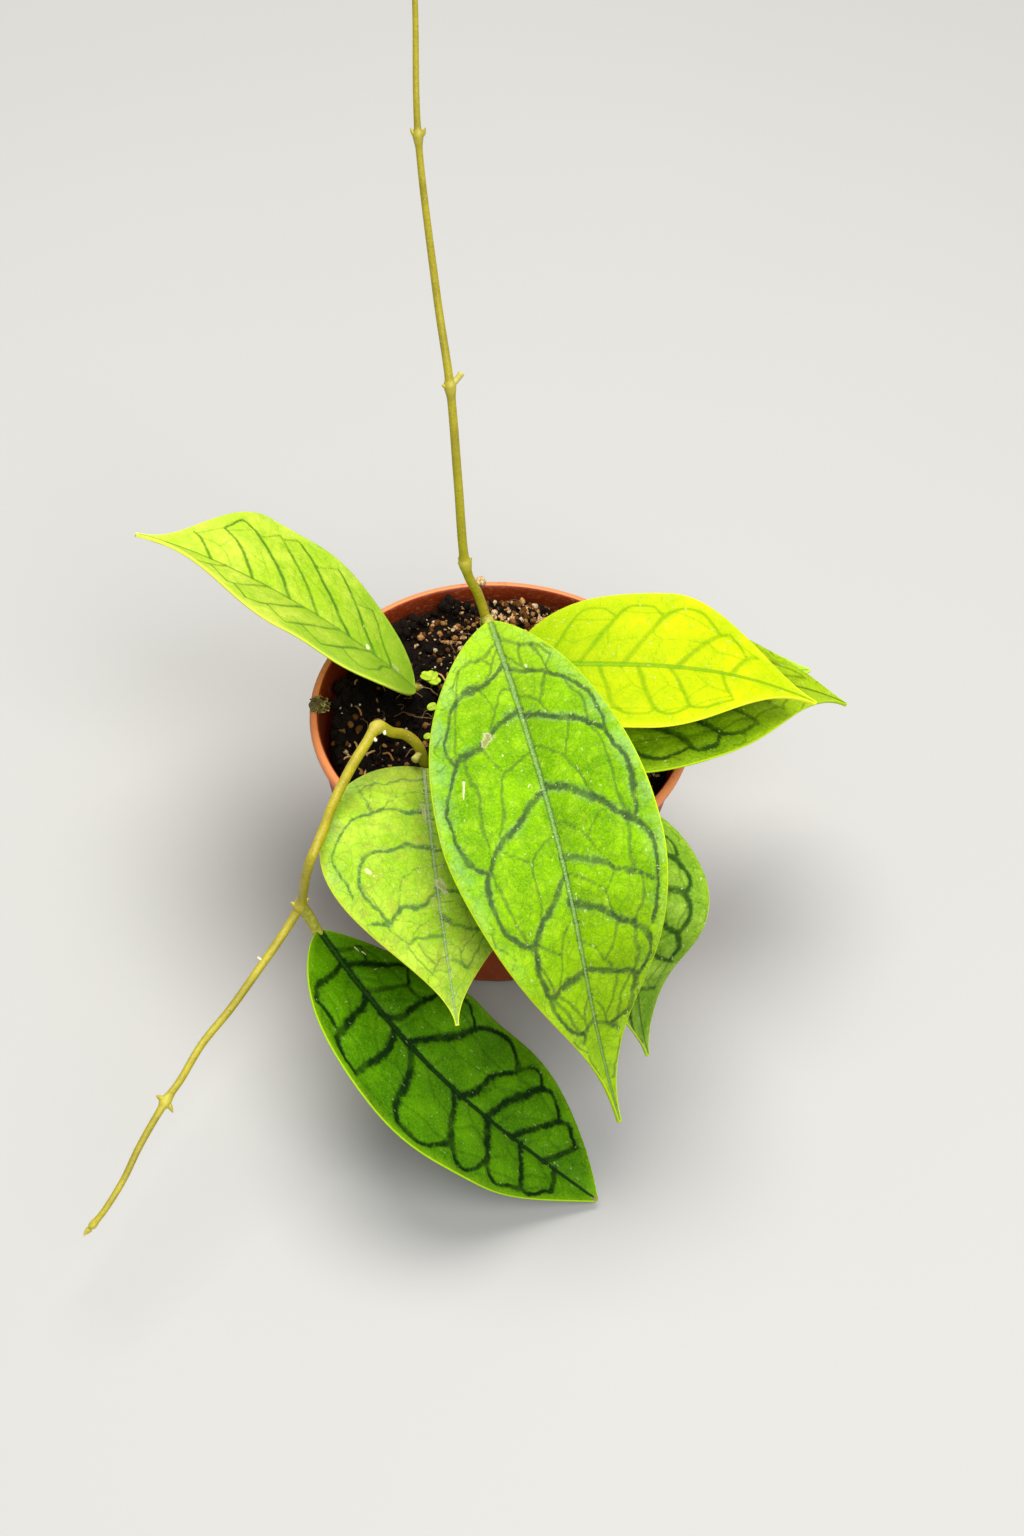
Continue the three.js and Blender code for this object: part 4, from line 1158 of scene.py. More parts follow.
def leaf_piece(name, rows, columns, sizes, finishes):
    """A leaf: a thin blade with sunken veins and a keel, and its petiole."""
    leaf, look = LEAVES[name], PLAIN_LOOK | LEAF_LOOKS[name]
    blade = Blade(leaf)
    even = np.linspace(0, 1, rows + 1)
    t = 0.4 * even + 0.6 * (1 - np.cos(math.pi * even)) / 2
    c = np.linspace(-1, 1, columns + 1)
    t, s = np.meshgrid(t, c * (1.18 - 0.18 * c ** 2), indexing="ij")
    points, flat = blade.places(t, s)
    normal = np.cross(np.gradient(points, axis=1), np.gradient(points, axis=0))
    normal /= np.linalg.norm(normal, axis=-1)[..., None]

    seed = sorted(LEAVES).index(name)
    main, weak = vein_lines(name, blade, look, seed)
    true_spots = flat.reshape(-1, 2).astype(np.float32)
    spots = wander(true_spots, seed + WANDER_SEED, look["wiggle"])
    main_away, vein, strong = nearest_vein(spots, main)
    weak_away, fine, _ = nearest_vein(spots, weak)
    _, scar, scar_tone = nearest_vein(true_spots, mark_lines(name, blade))

    shape = t.shape
    across = np.abs(s)
    rib = np.abs(flat[..., 0]) / (look["rib_width"] * (0.55 * (1 - t) ** 0.8 + 0.22))
    stout = np.exp(-(flat[..., 0] / (1.3 * (1 - t) ** 0.7 + 0.3)) ** 2)
    to_edge = blade.half_width(t, (s >= 0).astype(int)) * (1 - across)
    to_edge = np.minimum(to_edge, (1 - t) * blade.length * 0.5 + 0.02)
    shell = Shell()
    sunk = (strong * np.exp(-(vein / 1.1) ** 2)).reshape(shape)
    sunk = np.maximum(sunk, 0.45 * np.exp(-(fine / 1.1) ** 2).reshape(shape))
    sunk_rib = stout * (1 - t) ** 0.4 * look["bulge"]
    nearest = np.minimum(main_away.reshape(shape), np.abs(flat[..., 0]))
    swell = 0.75 * (1 - np.exp(-(nearest / 3.2) ** 2))
    swell += 0.25 * (1 - np.exp(-(weak_away.reshape(shape) / 1.5) ** 2))
    swell *= look["bulge"]
    sunk *= look["bulge"]
    calm = np.clip(to_edge / 2.5, 0, 1)  # the relief fades out at the edge
    relief = (sizes.pillow * (swell - 0.5) - sizes.furrow * np.maximum(sunk, sunk_rib)) / MM * calm
    edge = np.clip((across - 0.975) / 0.025, 0, 1)
    half = sizes.blade / MM / 2 * np.sqrt(np.maximum(0.04, 1 - edge ** 2))
    keel = sizes.keel / MM * stout * (1 - t) ** 0.5
    under_ridge = (sizes.furrow / MM * 0.8 * sunk + keel) * np.clip(to_edge / 1.2, 0, 1)
    middle = points - normal * (sizes.blade / MM / 2)
    upper = middle + normal * (half + relief)[..., None]
    lower = middle - normal * (half - relief * 0.6 + under_ridge)[..., None]

    values = {
        "vein": vein, "strong": strong, "fine": fine, "rib": rib, "margin": to_edge, "along": t,
        "across": across, "scar": scar, "scar_tone": scar_tone,
    }
    values = {label: np.tile(given.ravel(), 2) for label, given in values.items()}
    both_faces = np.concatenate([upper.reshape(-1, 3), lower.reshape(-1, 3)])
    under = np.repeat([0.0, 1.0], t.size)
    shell.add(both_faces, sheet_faces(rows, columns), **values, under=under)
    stalk_points, stalk_faces, way = petiole(leaf, blade, sizes.blade / MM)
    shell.add(stalk_points, stalk_faces, 1, along=way)
    spread = np.concatenate([flat.reshape(-1, 2)] * 2) * FLAT + (0.5, 0.0)
    return shell.piece(name + "_blade", finishes, spread)


def leaf_finish(name, blade_colour):
    """Waxy leaf: fields between dark veins, a pale margin, specks and the light let through."""
    look = PLAIN_LOOK | LEAF_LOOKS[name]
    tint = {key: colour(look[key]) for key in ("pale", "base", "vein", "rib", "margin", "glow")}
    tint["blade"] = (*blade_colour, 1.0)
    f = Finish(name)
    flat = f.flat()
    warped = f.vector_math("ADD", flat, f.push(flat, 0.45, 3, 2.6))
    jitter = f.math("SUBTRACT", f.noise(flat, 0.8, 4, 0.7), 0.5)
    jitter = f.times(jitter, 2.2 * look["ragged"])
    along, to_vein, to_edge = f.value("along"), f.value("vein"), f.value("margin")

    # The side veins, the weak ones, the net between them, and the middle rib
    hard = look["crisp"]
    main = f.times(
        f.below(f.math("ADD", to_vein, jitter), 0.75 * hard, 1.85 - 0.5 * hard),
        f.between(f.value("strong"), 0.2, 0.9, 0.45, 1.0),
        f.between(f.noise(flat, 0.16, 2), 0.3, 0.55, 0.72, 1.0),
        f.between(along, 0.42, 0.7, 1.0, look["far"]),
    )
    fine = f.below(f.math("ADD", f.value("fine"), jitter), 0.4, 1.7)
    net = f.below(f.cells(warped, 0.36, "DISTANCE_TO_EDGE"), 0.02, 0.1)
    mesh = f.below(f.cells(warped, 1.1, "DISTANCE_TO_EDGE"), 0.02, 0.14)
    rib = f.math("ADD", f.value("rib"), f.times(jitter, 0.7))
    rib_side = f.below(rib, 0.9, 2.0)
    rib_core = f.times(
        f.below(rib, 0.3, 0.95),
        f.between(along, 0.25 * look["core"], look["core"], 1.0, 0.3),
        f.between(f.noise(flat, 1.8, 4, 0.7), 0.36, 0.6, 0.2, 1.0),
    )

    # The fields between them, with painted shade beside the veins, and the tint along the veins and
    # the margin
    patch = f.noise(flat, 0.5, 4, 0.6)
    darker = 0.4 * look["contrast"] * (1 - look["bloom"])
    bloom = f.times(
        f.math("MAXIMUM", f.below(to_edge, 1.0, 7.0), f.between(to_vein, 0.8, 2.4, 0.6, 0.0)),
        f.between(f.noise(flat, 0.13, 4, 0.6), 0.4, 0.6, 0.1, 1.0),
        f.between(along, 0.4, 0.7, 1.0, 0.2),
    )

    # Round specks, long scratches, dry flakes beside the rib, and scars with a darker heart
    long = f.vector_math("MULTIPLY", flat, (0.9, 0.26, 1.0))
    specks = f.math(
        "MAXIMUM",
        f.times(f.below(f.cells(warped, 0.55), 0.1, 0.17),
                f.between(f.cell_value(warped, 0.55), 0.6, 0.62)),
        f.times(f.below(f.cells(long, 0.7), 0.07, 0.12),
                f.between(f.cell_value(long, 0.7, 1), 0.7, 0.72)),
    )
    wide = f.vector_math("MULTIPLY", warped, (1.0, 2.2, 1.0))
    flakes = f.times(f.between(f.noise(wide, 1.3, 5, 0.7), 0.56, 0.66),
                     f.between(rib, 0.6, 9.0, 1.0, 0.15))
    tone = f.value("scar_tone")
    scar_at = f.math("ADD", f.value("scar"), jitter)
    scar = f.below(scar_at, 0.7, 1.1)
    heart = f.times(f.below(scar_at, 0.35, 0.7), f.between(tone, 0.75, 0.95, 0.75, 0.0))
    under = f.value("under")

    base = f.coated(tint["blade"], (
        (f.between(f.noise(flat, 0.09, 3), 0.35, 0.68), 1.0, tint["pale"]),
        (f.between(patch, 0.35, 0.7), 0.35, tint["pale"]),
        (f.cell_value(warped, 0.14), 0.5, tint["blade"]),
        # painted shade: the blade darkens towards the sunken veins
        (f.below(to_vein, 0.6, 4.6), darker, tint["blade"]),
        (f.between(f.noise(flat, 0.22, 4, 0.65), 0.46, 0.66), look["dull"], tint["base"]),
        (bloom, look["bloom"], look["wax"]),
        (f.below(along, 0.0, look["reach"]), 0.75, tint["base"]),
        # a paler tip; on leaf_right_middle this is painted light, out of the shadow of
        # leaf_right_upper
        (f.between(along, 0.45, 0.85), look["tip"], tint["margin"]),
        (f.below(to_edge, 0.4, 3.0), 0.15, tint["margin"]),
        (mesh, 0.45 * look["fine"], tint["margin"]),
        (net, 0.45 * look["fine"], tint["vein"]),
        (fine, look["fine"], tint["vein"]),
        (main, look["contrast"], tint["vein"]),
        (rib_side, look["rib_dark"], tint["vein"]),
        (rib_core, 0.85, tint["rib"]),
        (f.below(to_edge, 0.12, 0.38), 1.0, tint["margin"]),
        (specks, look["specks"], "dfe8a8"),
        (flakes, look["scurf"], "cfd3b4"),
        (scar, 0.85, f.mix(heart, f.mix(tone, "5a3c12", "ecebb8"), "8c8c30")),
        (under, 0.45, tint["pale"]),
    ))

    grain = f.noise(flat, 6.0, 3)
    rough = f.between(grain, 0.3, 0.7, 0.4, 0.55)
    rough = f.math("ADD", rough, f.times(f.math("MAXIMUM", under, scar), 0.15))
    relief = f.math("ADD", f.times(grain, 0.35), f.times(patch, 0.8))
    relief = f.math("SUBTRACT", relief, f.times(f.math("MAXIMUM", net, mesh), 0.25))
    relief = f.math("ADD", relief, f.times(specks, 0.3))
    light = f.mix(f.times(f.math("MAXIMUM", main, rib_side), 0.6), tint["glow"], base)
    return f.finish(base, rough, f.bump(relief, 0.22, 0.7), (look["through"], light),
                    Specular_IOR_Level=look["gloss"])


def petiole_finish():
    """Olive stalk with paler and browner patches."""
    f = Finish("petiole")
    where = f.places()
    base = f.coated("8f8e18", (
        (f.between(f.noise(where, 0.8, 4, 0.65), 0.35, 0.7), 1.0, "b4b044"),
        (f.between(f.noise(where, 0.25, 2), 0.5, 0.75), 1.0, "7c6a22"),
    ))
    normal = f.bump(f.noise(where, 3.0, 3), 0.15, 0.5)
    return f.finish(base, 0.45, normal, Specular_IOR_Level=0.4)


class WAXVINE_OT_leaves(bpy.types.Operator):
    """Make the eight leaves with their veins, margins and petioles"""

    bl_idname = "wax_vine.leaves"
    bl_label = "Leaves"

    def execute(self, context):
        sizes = context.scene.wax_vine_sizes
        tints = context.scene.wax_vine_leaves
        stalk = petiole_finish()
        for name in LEAVES:
            finishes = [leaf_finish(name, getattr(tints, name)), stalk]
            rows, columns = FINE_BLADE_GRID.get(name, BLADE_GRID)
            kept(leaf_piece(name, rows, columns, sizes, finishes), name, name)
        return {"FINISHED"}


# Stems


def thickness_along(stem, along, length, swellings):
    foot, middle, tip = stem["radius"]
    part = along / length
    plain = np.where(part < 0.5, foot + (middle - foot) * part * 2,
                     middle + (tip - middle) * (part * 2 - 1))
    swollen = np.zeros(len(along))
    for at in swellings:
        swollen = np.maximum(swollen, np.exp(-((along - at) / SWELL_REACH) ** 2))
        ring = np.exp(-((along - at - 0.7) / 0.45) ** 2)
        plain = plain + 0.16 * ring - 0.1 * np.exp(-((along - at - 1.9) / 0.6) ** 2)
    return plain + SWELL * swollen, swollen


def stem_routes(stem):
    """A stem and its shoots as (points, radius at each, how far along, how swollen)."""
    spans = smooth_route(stem["route"], 24)
    route, along = evenly(spans, RING_STEP)
    swellings = []
    for number in stem["nodes"]:
        near = np.linalg.norm(route - np.array(stem["route"][number]), axis=1)
        swellings.append(along[near.argmin()])
    radius, swollen = thickness_along(stem, along, along[-1], swellings)
    for back in (1, 2, 3):
        radius[-back] *= (0.25, 0.75, 0.93)[back - 1]
    routes = [(route, radius, along, swollen)]
    for shoot, radii in stem["shoots"]:
        line, way = evenly(smooth_route(shoot, 8), 0.3)
        wide = np.interp(way / way[-1], np.linspace(0, 1, len(radii)), radii)
        wide[-1] *= 0.35
        tone = 1.0
        if radii[-1] > 0.2:  # a blunt end: a white root nub, or the paler stub of a stalk
            tone = 2.0 if radii[0] <= 0.6 else 1.32
        routes.append((line, wide, way, np.full(len(way), tone)))
    return routes


def stem_grower():
    """A round skin along each line of the route, as thick as the route says."""
    tree = Grower("stem along a route", sides="int")
    line = tree.add("GeometryNodeMeshToCurve", {"Mesh": tree.given("geometry")})
    return tree.end(tree.skin(line, tree.given("sides"), tree.attribute("thickness")))


def route_object(name, routes):
    """The lines that a stem grows along, as a mesh of edges with a value at each point."""
    points, edges = [], []
    for line, *_ in routes:
        start = len(points)
        points += (line * MM).tolist()
        edges += [(start + k, start + k + 1) for k in range(len(line) - 1)]
    mesh = bpy.data.meshes.new(name + "_route")
    mesh.from_pydata(points, edges, [])
    for label, column, scale in (("thickness", 1, MM), ("along", 2, 1), ("swollen", 3, 1)):
        whole = np.concatenate([route[column] for route in routes]) * scale
        made = mesh.attributes.new(label, "FLOAT", "POINT")
        made.data.foreach_set("value", whole.astype(np.float32))
    return placed(name + "_route", mesh)


def stem_finish():
    """Olive bark with darker flecks and pale dots, paler at the nodes, white on root nubs."""
    f = Finish("stem")
    where = f.places()
    swollen = f.value("swollen")
    fleck = f.noise(where, 1.6, 4, 0.7)
    lenticel = f.below(f.cells(where, 0.7), 0.1, 0.2)
    base = f.coated("94890c", (
        (f.between(f.noise(where, 0.12, 2), 0.35, 0.65), 1.0, "aa9e18"),
        (f.between(fleck, 0.45, 0.75), 0.65, "70660a"),
        (f.between(swollen, 0.0, 1.0), 0.45, "c2b848"),
        (f.between(f.noise(where, 2.4, 4, 0.7), 0.55, 0.7), 0.3, "8a6a34"),
        (lenticel, 0.5, "c2b878"),
        (f.between(swollen, 1.2, 1.8), 1.0, "e8e4c0"),
    ))
    height = f.math("ADD", fleck, f.times(lenticel, 0.6))
    rough = f.between(fleck, 0.3, 0.7, 0.36, 0.52)
    return f.finish(base, rough, f.bump(height, 0.16, 0.6), Specular_IOR_Level=0.45,
                    Subsurface_Weight=0.12, Subsurface_Radius=(0.0012, 0.0012, 0.0002))


class WAXVINE_OT_stems(bpy.types.Operator):
    """Grow the three stems, with their nodes, buds and old flower stalk"""

    bl_idname = "wax_vine.stems"
    bl_label = "Stems"

    def execute(self, context):
        sizes = context.scene.wax_vine_sizes
        skin = stem_finish()
        tree = stem_grower()
        for name, stem in STEMS.items():
            route = route_object(name, stem_routes(stem))
            piece = tree.grow(name + "_bark", route, sides=sizes.stem_sides, finish=skin)
            kept(piece, "stem", name)
        return {"FINISHED"}


# Pot


def pot_radius(height):
    """The outside of the wall."""
    slope = (RIM_RADIUS - 1.9 - FOOT_RADIUS) / (POT_HEIGHT - LIP_HEIGHT)
    return FOOT_RADIUS + slope * height


def pot_profile():
    """The pot's section from the middle of the foot, up the outside and down the inside."""
    neck = POT_HEIGHT - LIP_HEIGHT
    inside = RIM_RADIUS - LIP_DEPTH
    profile = [(0, 0.5), (20, 0.5), (pot_radius(0) - 3.4, 0.4), (pot_radius(0) - 2.6, 0)]
    profile += [(pot_radius(0) - 1.2, 0), (pot_radius(0) - 0.4, 0.35), (pot_radius(1.3), 1.3)]
    profile += [(pot_radius(h), h) for h in np.linspace(3, neck - 0.6, 18)]
    profile += [(pot_radius(neck) + 0.15, neck - 0.1), (RIM_RADIUS - 0.75, neck + 0.12)]
    profile += [(RIM_RADIUS - 0.22, neck + 0.5), (RIM_RADIUS, neck + 1.2)]
    profile += [(RIM_RADIUS - 0.05, POT_HEIGHT - 1), (RIM_RADIUS - 0.35, POT_HEIGHT - 0.35)]
    profile += [(RIM_RADIUS - 0.9, POT_HEIGHT - 0.03), (inside + 0.8, POT_HEIGHT - 0.02)]
    profile += [(inside + 0.3, POT_HEIGHT - 0.3), (inside, POT_HEIGHT - 1.0)]
    profile += [(inside - 0.15, neck + 0.6), (inside - 0.4, neck - 0.8)]
    profile += [(pot_radius(h) - WALL, h) for h in np.linspace(neck - 3, 3.5, 14)]
    profile += [(pot_radius(FLOOR) - WALL - 1.1, FLOOR), (20, FLOOR), (0, FLOOR)]
    return profile


def pot_grower():
    """Turns a profile into a closed pot and drills the ring of drain holes in its floor."""
    tree = Grower("turned pot with drain holes", sides="int", profile_points="int",
                  drain_holes="int", drain_radius="float", drain_circle="float")
    rows = tree.given("profile_points")
    around = tree.math("ADD", tree.given("sides"), 1.0)
    grid = tree.add("GeometryNodeMeshGrid", {"Vertices X": around, "Vertices Y": rows})
    number = tree.add("GeometryNodeInputIndex")
    column = tree.math("FLOOR", tree.math("DIVIDE", tree.math("ADD", number, 0.5), rows))
    row = tree.math("SUBTRACT", number, tree.times(column, rows))
    section = tree.add("GeometryNodeSampleIndex", {
        "Geometry": tree.given("geometry"), "Index": row,
        "Value": tree.add("GeometryNodeInputPosition"),
    }, data_type="FLOAT_VECTOR", domain="POINT")
    split = {0: section}
    radius = tree.add("ShaderNodeSeparateXYZ", split, 0)
    height = tree.add("ShaderNodeSeparateXYZ", split, 2)
    turn = tree.times(tree.math("DIVIDE", column, tree.given("sides")), TURN)
    place = tree.add("ShaderNodeCombineXYZ", {
        "X": tree.times(radius, tree.math("COSINE", turn)),
        "Y": tree.times(radius, tree.math("SINE", turn)),
        "Z": height,
    })
    wall = tree.add("GeometryNodeSetPosition", {"Geometry": grid, "Position": place})
    wall = tree.add("GeometryNodeMergeByDistance", {"Geometry": wall, "Distance": 0.01 * MM})
    ring = tree.add("GeometryNodeMeshCircle", {
        "Vertices": tree.given("drain_holes"), "Radius": tree.given("drain_circle")})
    drill = tree.add("GeometryNodeMeshCylinder", {
        "Vertices": 32, "Radius": tree.given("drain_radius"), "Depth": 20 * MM})
    inputs = {"Mesh 1": wall, "Mesh 2": tree.copies(ring, drill)}
    drilled = tree.add("GeometryNodeMeshBoolean", inputs, operation="DIFFERENCE", solver="EXACT")
    return tree.end(drilled)


def pot_finish(sizes):
    """Thin, slightly see-through brown plastic with a scuffed lip, painted paler as a painted
    highlight, and an inner wall painted darker as painted shade.
    """
    f = Finish("pot_plastic")
    where = f.places()
    height = f.add("ShaderNodeSeparateXYZ", {0: where}, 2)
    level = f.vector_math("MULTIPLY", where, (1.0, 1.0, 0.0))
    radius = f.add("ShaderNodeVectorMath", {0: level}, 1, operation="LENGTH")
    scuff = f.noise(f.vector_math("MULTIPLY", where, (1.0, 1.0, 3.5)), 0.7, 5, 0.7)
    slope = (pot_radius(POT_HEIGHT) - FOOT_RADIUS) / POT_HEIGHT
    outside = f.math("ADD", f.times(height, slope), FOOT_RADIUS)
    inside = f.between(f.math("SUBTRACT", outside, radius), 0.4, 0.8, 0.0, 0.8)
    # painted shade: the inner wall is painted darker still down towards the mix, where the shade in
    # the pot is deepest
    painted_low_shade = f.between(height, SOIL_LEVEL + 1, POT_HEIGHT - 1, 0.9, 0.2)
    neck, lip_inside = POT_HEIGHT - LIP_HEIGHT, RIM_RADIUS - LIP_DEPTH
    on_lip = f.times(f.between(height, neck - 0.3, neck + 0.8),
                     f.between(radius, lip_inside + 0.35, lip_inside + 0.8))
    dirt = f.times(f.between(f.noise(where, 0.35, 5, 0.65), 0.56, 0.66),
                   f.between(height, 45, POT_HEIGHT - 1, 0.1, 0.25))
    low_dirt = f.times(f.below(height, 1.0, 7.0), f.between(f.noise(where, 0.3, 4), 0.4, 0.6))
    base = f.coated((*sizes.plastic, 1.0), (
        (f.between(f.noise(where, 0.06, 3), 0.3, 0.7), 1.0, "ac4818"),
        # painted shade: the inner wall is painted darker than the outside, as the inside of the pot
        # lies in shade
        (inside, 1.0, "7a2a06"),
        # painted shade, darkest down by the mix
        (f.times(inside, painted_low_shade), 1.0, "1c0c04"),
        # painted highlight: the paler colour of the lip
        (on_lip, 1.0, (*sizes.lip, 1.0)),
        (f.between(scuff, 0.5, 0.68), 0.3, "d79a76"),
        (dirt, 1.0, "5a2f1c"),
        (low_dirt, 0.5, "5d3522"),
    ))
    rough = f.between(scuff, 0.35, 0.7, 0.32, 0.55)
    mould = f.noise(f.vector_math("MULTIPLY", where, (0.4, 0.4, 6.0)), 0.5, 2)
    bumps = f.math("ADD", f.times(mould, 0.5), f.noise(where, 2.5, 3))
    # painted shade: the light let through the inner wall is painted dark too
    light = f.mix(inside, f.mix(on_lip, "f06c20", "f89c64"), "321004")
    return f.finish(base, rough, f.bump(bumps, 0.06, 0.5), (0.35, light),
                    Specular_IOR_Level=0.3)


class WAXVINE_OT_pot(bpy.types.Operator):
    """Turn the grower pot and drill its drain holes"""

    bl_idname = "wax_vine.pot"
    bl_label = "Pot"

    def execute(self, context):
        sizes = context.scene.wax_vine_pot
        profile = pot_profile()
        mesh = bpy.data.meshes.new("pot_profile")
        mesh.from_pydata([(r * MM, 0, h * MM) for r, h in profile],
                         [(k, k + 1) for k in range(len(profile) - 1)], [])
        piece = pot_grower().grow(
            "grower_pot", placed("pot_profile", mesh), sides=sizes.sides,
            profile_points=len(profile), drain_holes=DRAIN_HOLES,
            drain_radius=DRAIN_RADIUS * MM, drain_circle=DRAIN_CIRCLE * MM,
            finish=pot_finish(sizes),
        )
        kept(piece, "pot_plastic", "pot")
        return {"FINISHED"}


# Potting mix


def lumps():
    """The large lumps of the mix, the same ones as in the solid."""
    state = 7
    drawn = []
    for _ in range(LUMPS * 3):
        state = state * 16807 % 2147483647
        drawn.append(state / 2147483647)
    found = []
    for turn, out, size in zip(*[iter(drawn)] * 3):
        away = math.sqrt(out) * (RIM_RADIUS - 6)
        radius = LUMP_RADIUS[0] + (LUMP_RADIUS[1] - LUMP_RADIUS[0]) * size ** 2
        found.append((away * math.cos(turn * TURN), away * math.sin(turn * TURN), radius))
    return found


def mound(hill, x, y):
    (left, back), height, reach = hill
    return height * np.exp(-((x - left) ** 2 + (y - back) ** 2) / reach ** 2)


def bank(x, y):
    """The mix is banked up against the wall at the back and the left."""
    part = np.clip((np.hypot(x, y) - BANK_START) / BANK_RISE, 0, 1)
    way = np.maximum(0, np.cos(np.arctan2(y, x) - BANK_TOWARDS))
    return BANK_HEIGHT * part * np.sqrt(way)


def rumple(x, y):
    """Small clods and cracks on top of the lumps."""
    flat = []
    for u, v in zip(x.ravel(), y.ravel()):
        clods = noise.fractal(Vector((u * 0.28, v * 0.28, 3.1)), 0.8, 2.2, 4)
        grains = noise.noise(Vector((u * 1.5, v * 1.5, 9.4)))
        flat.append(1.25 * clods + 0.3 * grains)
    return np.array(flat).reshape(x.shape)


def soil_height(x, y):
    lump = np.zeros(x.shape)
    for left, back, radius in lumps():
        away = (x - left) ** 2 + (y - back) ** 2
        lump = np.maximum(lump, 0.8 * np.sqrt(np.maximum(radius ** 2 - away, 0)))
    level = SOIL_LEVEL + mound(HEAP, x, y) + mound(HOLLOW, x, y) + bank(x, y)
    return level + lump - 0.8 + rumple(x, y)


def soil_side(height):
    return FOOT_RADIUS - WALL - GAP + height / POT_HEIGHT * 11.6


def soil_top(rings, sectors):
    """The rumpled top of the mix, from the middle out: rings of points and its faces."""
    turn = np.arange(sectors) / sectors * TURN
    part = np.linspace(0, 1, rings + 1)[1:]
    out = np.outer(part * (soil_side(SOIL_LEVEL - 4) - 0.2), np.ones(sectors))
    towards = np.maximum(0, np.cos(turn - SHRINK_TOWARDS)) ** 3
    keep = 1 - SHRINK_DEPTH * towards * (out / RIM_RADIUS) ** 4 / RIM_RADIUS
    x, y = out * keep * np.cos(turn), out * keep * np.sin(turn)
    points = np.stack([x, y, soil_height(x, y)], -1).reshape(-1, 3)
    middle = np.array([[0, 0, float(soil_height(np.zeros(1), np.zeros(1))[0])]])
    faces = []
    for k in range(sectors):
        n = (k + 1) % sectors
        faces.append((rings * sectors, k, n))
        for ring in range(rings - 1):
            a, b = ring * sectors, (ring + 1) * sectors
            faces.append((a + k, b + k, b + n, a + n))
    return np.concatenate([points, middle]), faces


def soil_body(finish):
    """The whole block of mix, down to the floor of the pot."""
    rings, sectors = SOIL_GRID
    points, faces = soil_top(rings, sectors)
    turn = np.arange(sectors) / sectors * TURN
    heights = [SOIL_LEVEL - 4, 45, 30, 15, 3.2, FLOOR + GAP]
    start, above = len(points), (rings - 1) * sectors
    rows = [points]
    for level, height in enumerate(heights):
        radius = soil_side(height) - (0.3 if level < len(heights) - 1 else 1.3)
        z = np.full(sectors, float(height))
        rows.append(np.stack([radius * np.cos(turn), radius * np.sin(turn), z], -1))
        for k in range(sectors):
            n = (k + 1) % sectors
            faces.append((above + k, start + k, start + n, above + n))
        above, start = start, start + sectors
    rows.append(np.array([[0, 0, FLOOR + GAP]]))
    faces += [(start, above + (k + 1) % sectors, above + k) for k in range(sectors)]
    return Shell().add(np.concatenate(rows), faces).piece("soil_bed", [finish])


def peat_finish(sizes, name, dry):
    """Damp peat: near black in the cracks, brown and fibrous where it is drier."""
    f = Finish(name)
    where = f.places()
    clod = f.noise(where, 0.5, 5, 0.65)
    grain = f.noise(where, 3.0, 4, 0.7)
    strand = f.noise(f.vector_math("MULTIPLY", where, (1.0, 4.0, 2.0)), 1.1, 4, 0.7)
    base = f.coated("060301", (
        (f.between(clod, 0.4, 0.72), 1.0, (*sizes.peat, 1.0)),
        (f.between(grain, 0.54, 0.72), dry, "52300f"),
        (f.between(strand, 0.62, 0.7), dry, "7c5226"),
    ))
    height = f.math("ADD", clod, f.times(grain, 0.5))
    rough = f.between(clod, 0.3, 0.7, 0.6, 0.95)
    return f.finish(base, rough, f.bump(height, 0.9, 1.0), Specular_IOR_Level=0.14)


def bark_finish(sizes):
    """Dry bark and grit: each granule its own tone, from dark brown to pale tan."""
    f = Finish("bark_granules")
    tone = f.value("tone")
    grain = f.noise(f.places(), 1.8, 5, 0.7)
    base = f.coated("5c3612", (
        (f.between(tone, 0.2, 0.8), 1.0, (*sizes.bark, 1.0)),
        (f.between(tone, 0.62, 0.92), 1.0, "ecd0a0"),
        (f.below(grain, 0.4, 0.6), 0.7, "5e3812"),
    ))
    return f.finish(base, 0.85, f.bump(grain, 0.6, 1.0), Specular_IOR_Level=0.15)


def pale_finish():
    """White grit."""
    f = Finish("pale_grains")
    grain = f.noise(f.places(), 2.5, 4)
    base = f.mix(f.between(grain, 0.35, 0.65), "b9ab94", "ece6da")
    return f.finish(base, 0.8, f.bump(grain, 0.3, 0.8), Specular_IOR_Level=0.3)


def fibre_finish(name, light, dark):
    """Dry fibres or slivers, each its own tone from dark to light."""
    f = Finish(name)
    where = f.places()
    base = f.mix(f.value("tone"), dark, light)
    base = f.mix(f.times(f.noise(where, 1.2, 3), 0.6), base, dark)
    return f.finish(base, 0.8, f.bump(f.noise(where, 4.0, 2), 0.1, 0.6),
                    Specular_IOR_Level=0.3)


def granule_grower():
    """Scatters rough granules over a surface, denser where a named value is high."""
    tree = Grower("scattered granules", where="text", density="float", smallest="float",
                  largest="float", flatness="float", roughness="float", lift="float",
                  seed="int")
    tone_seed, size_seed, shape_seed, angle_seed = [
        tree.math("ADD", tree.given("seed"), float(more)) for more in (1, 2, 3, 4)]
    spots = tree.spots(tone_seed)
    size = tree.drawn(0.0, 1.0, size_seed)
    span = tree.math("SUBTRACT", tree.given("largest"), tree.given("smallest"))
    size = tree.math("ADD", tree.given("smallest"), tree.times(size, size, span))
    flat = tree.add("ShaderNodeCombineXYZ", {"X": 1.0, "Y": 0.8, "Z": tree.given("flatness")})
    uneven = tree.drawn((0.75, 0.75, 0.75), (1.2, 1.2, 1.2), shape_seed)
    scale = tree.vector_math("MULTIPLY", tree.stretch(flat, size), uneven)
    angle = tree.drawn((-0.7, -0.7, 0.0), (0.7, 0.7, TURN), angle_seed)
    pebble = tree.add("GeometryNodeMeshUVSphere", {"Segments": 8, "Rings": 5, "Radius": 0.5})
    stones = tree.copies(spots, pebble, Rotation=angle, Scale=scale)
    return tree.end(tree.shaken(stones, 0.9, tree.given("roughness")))


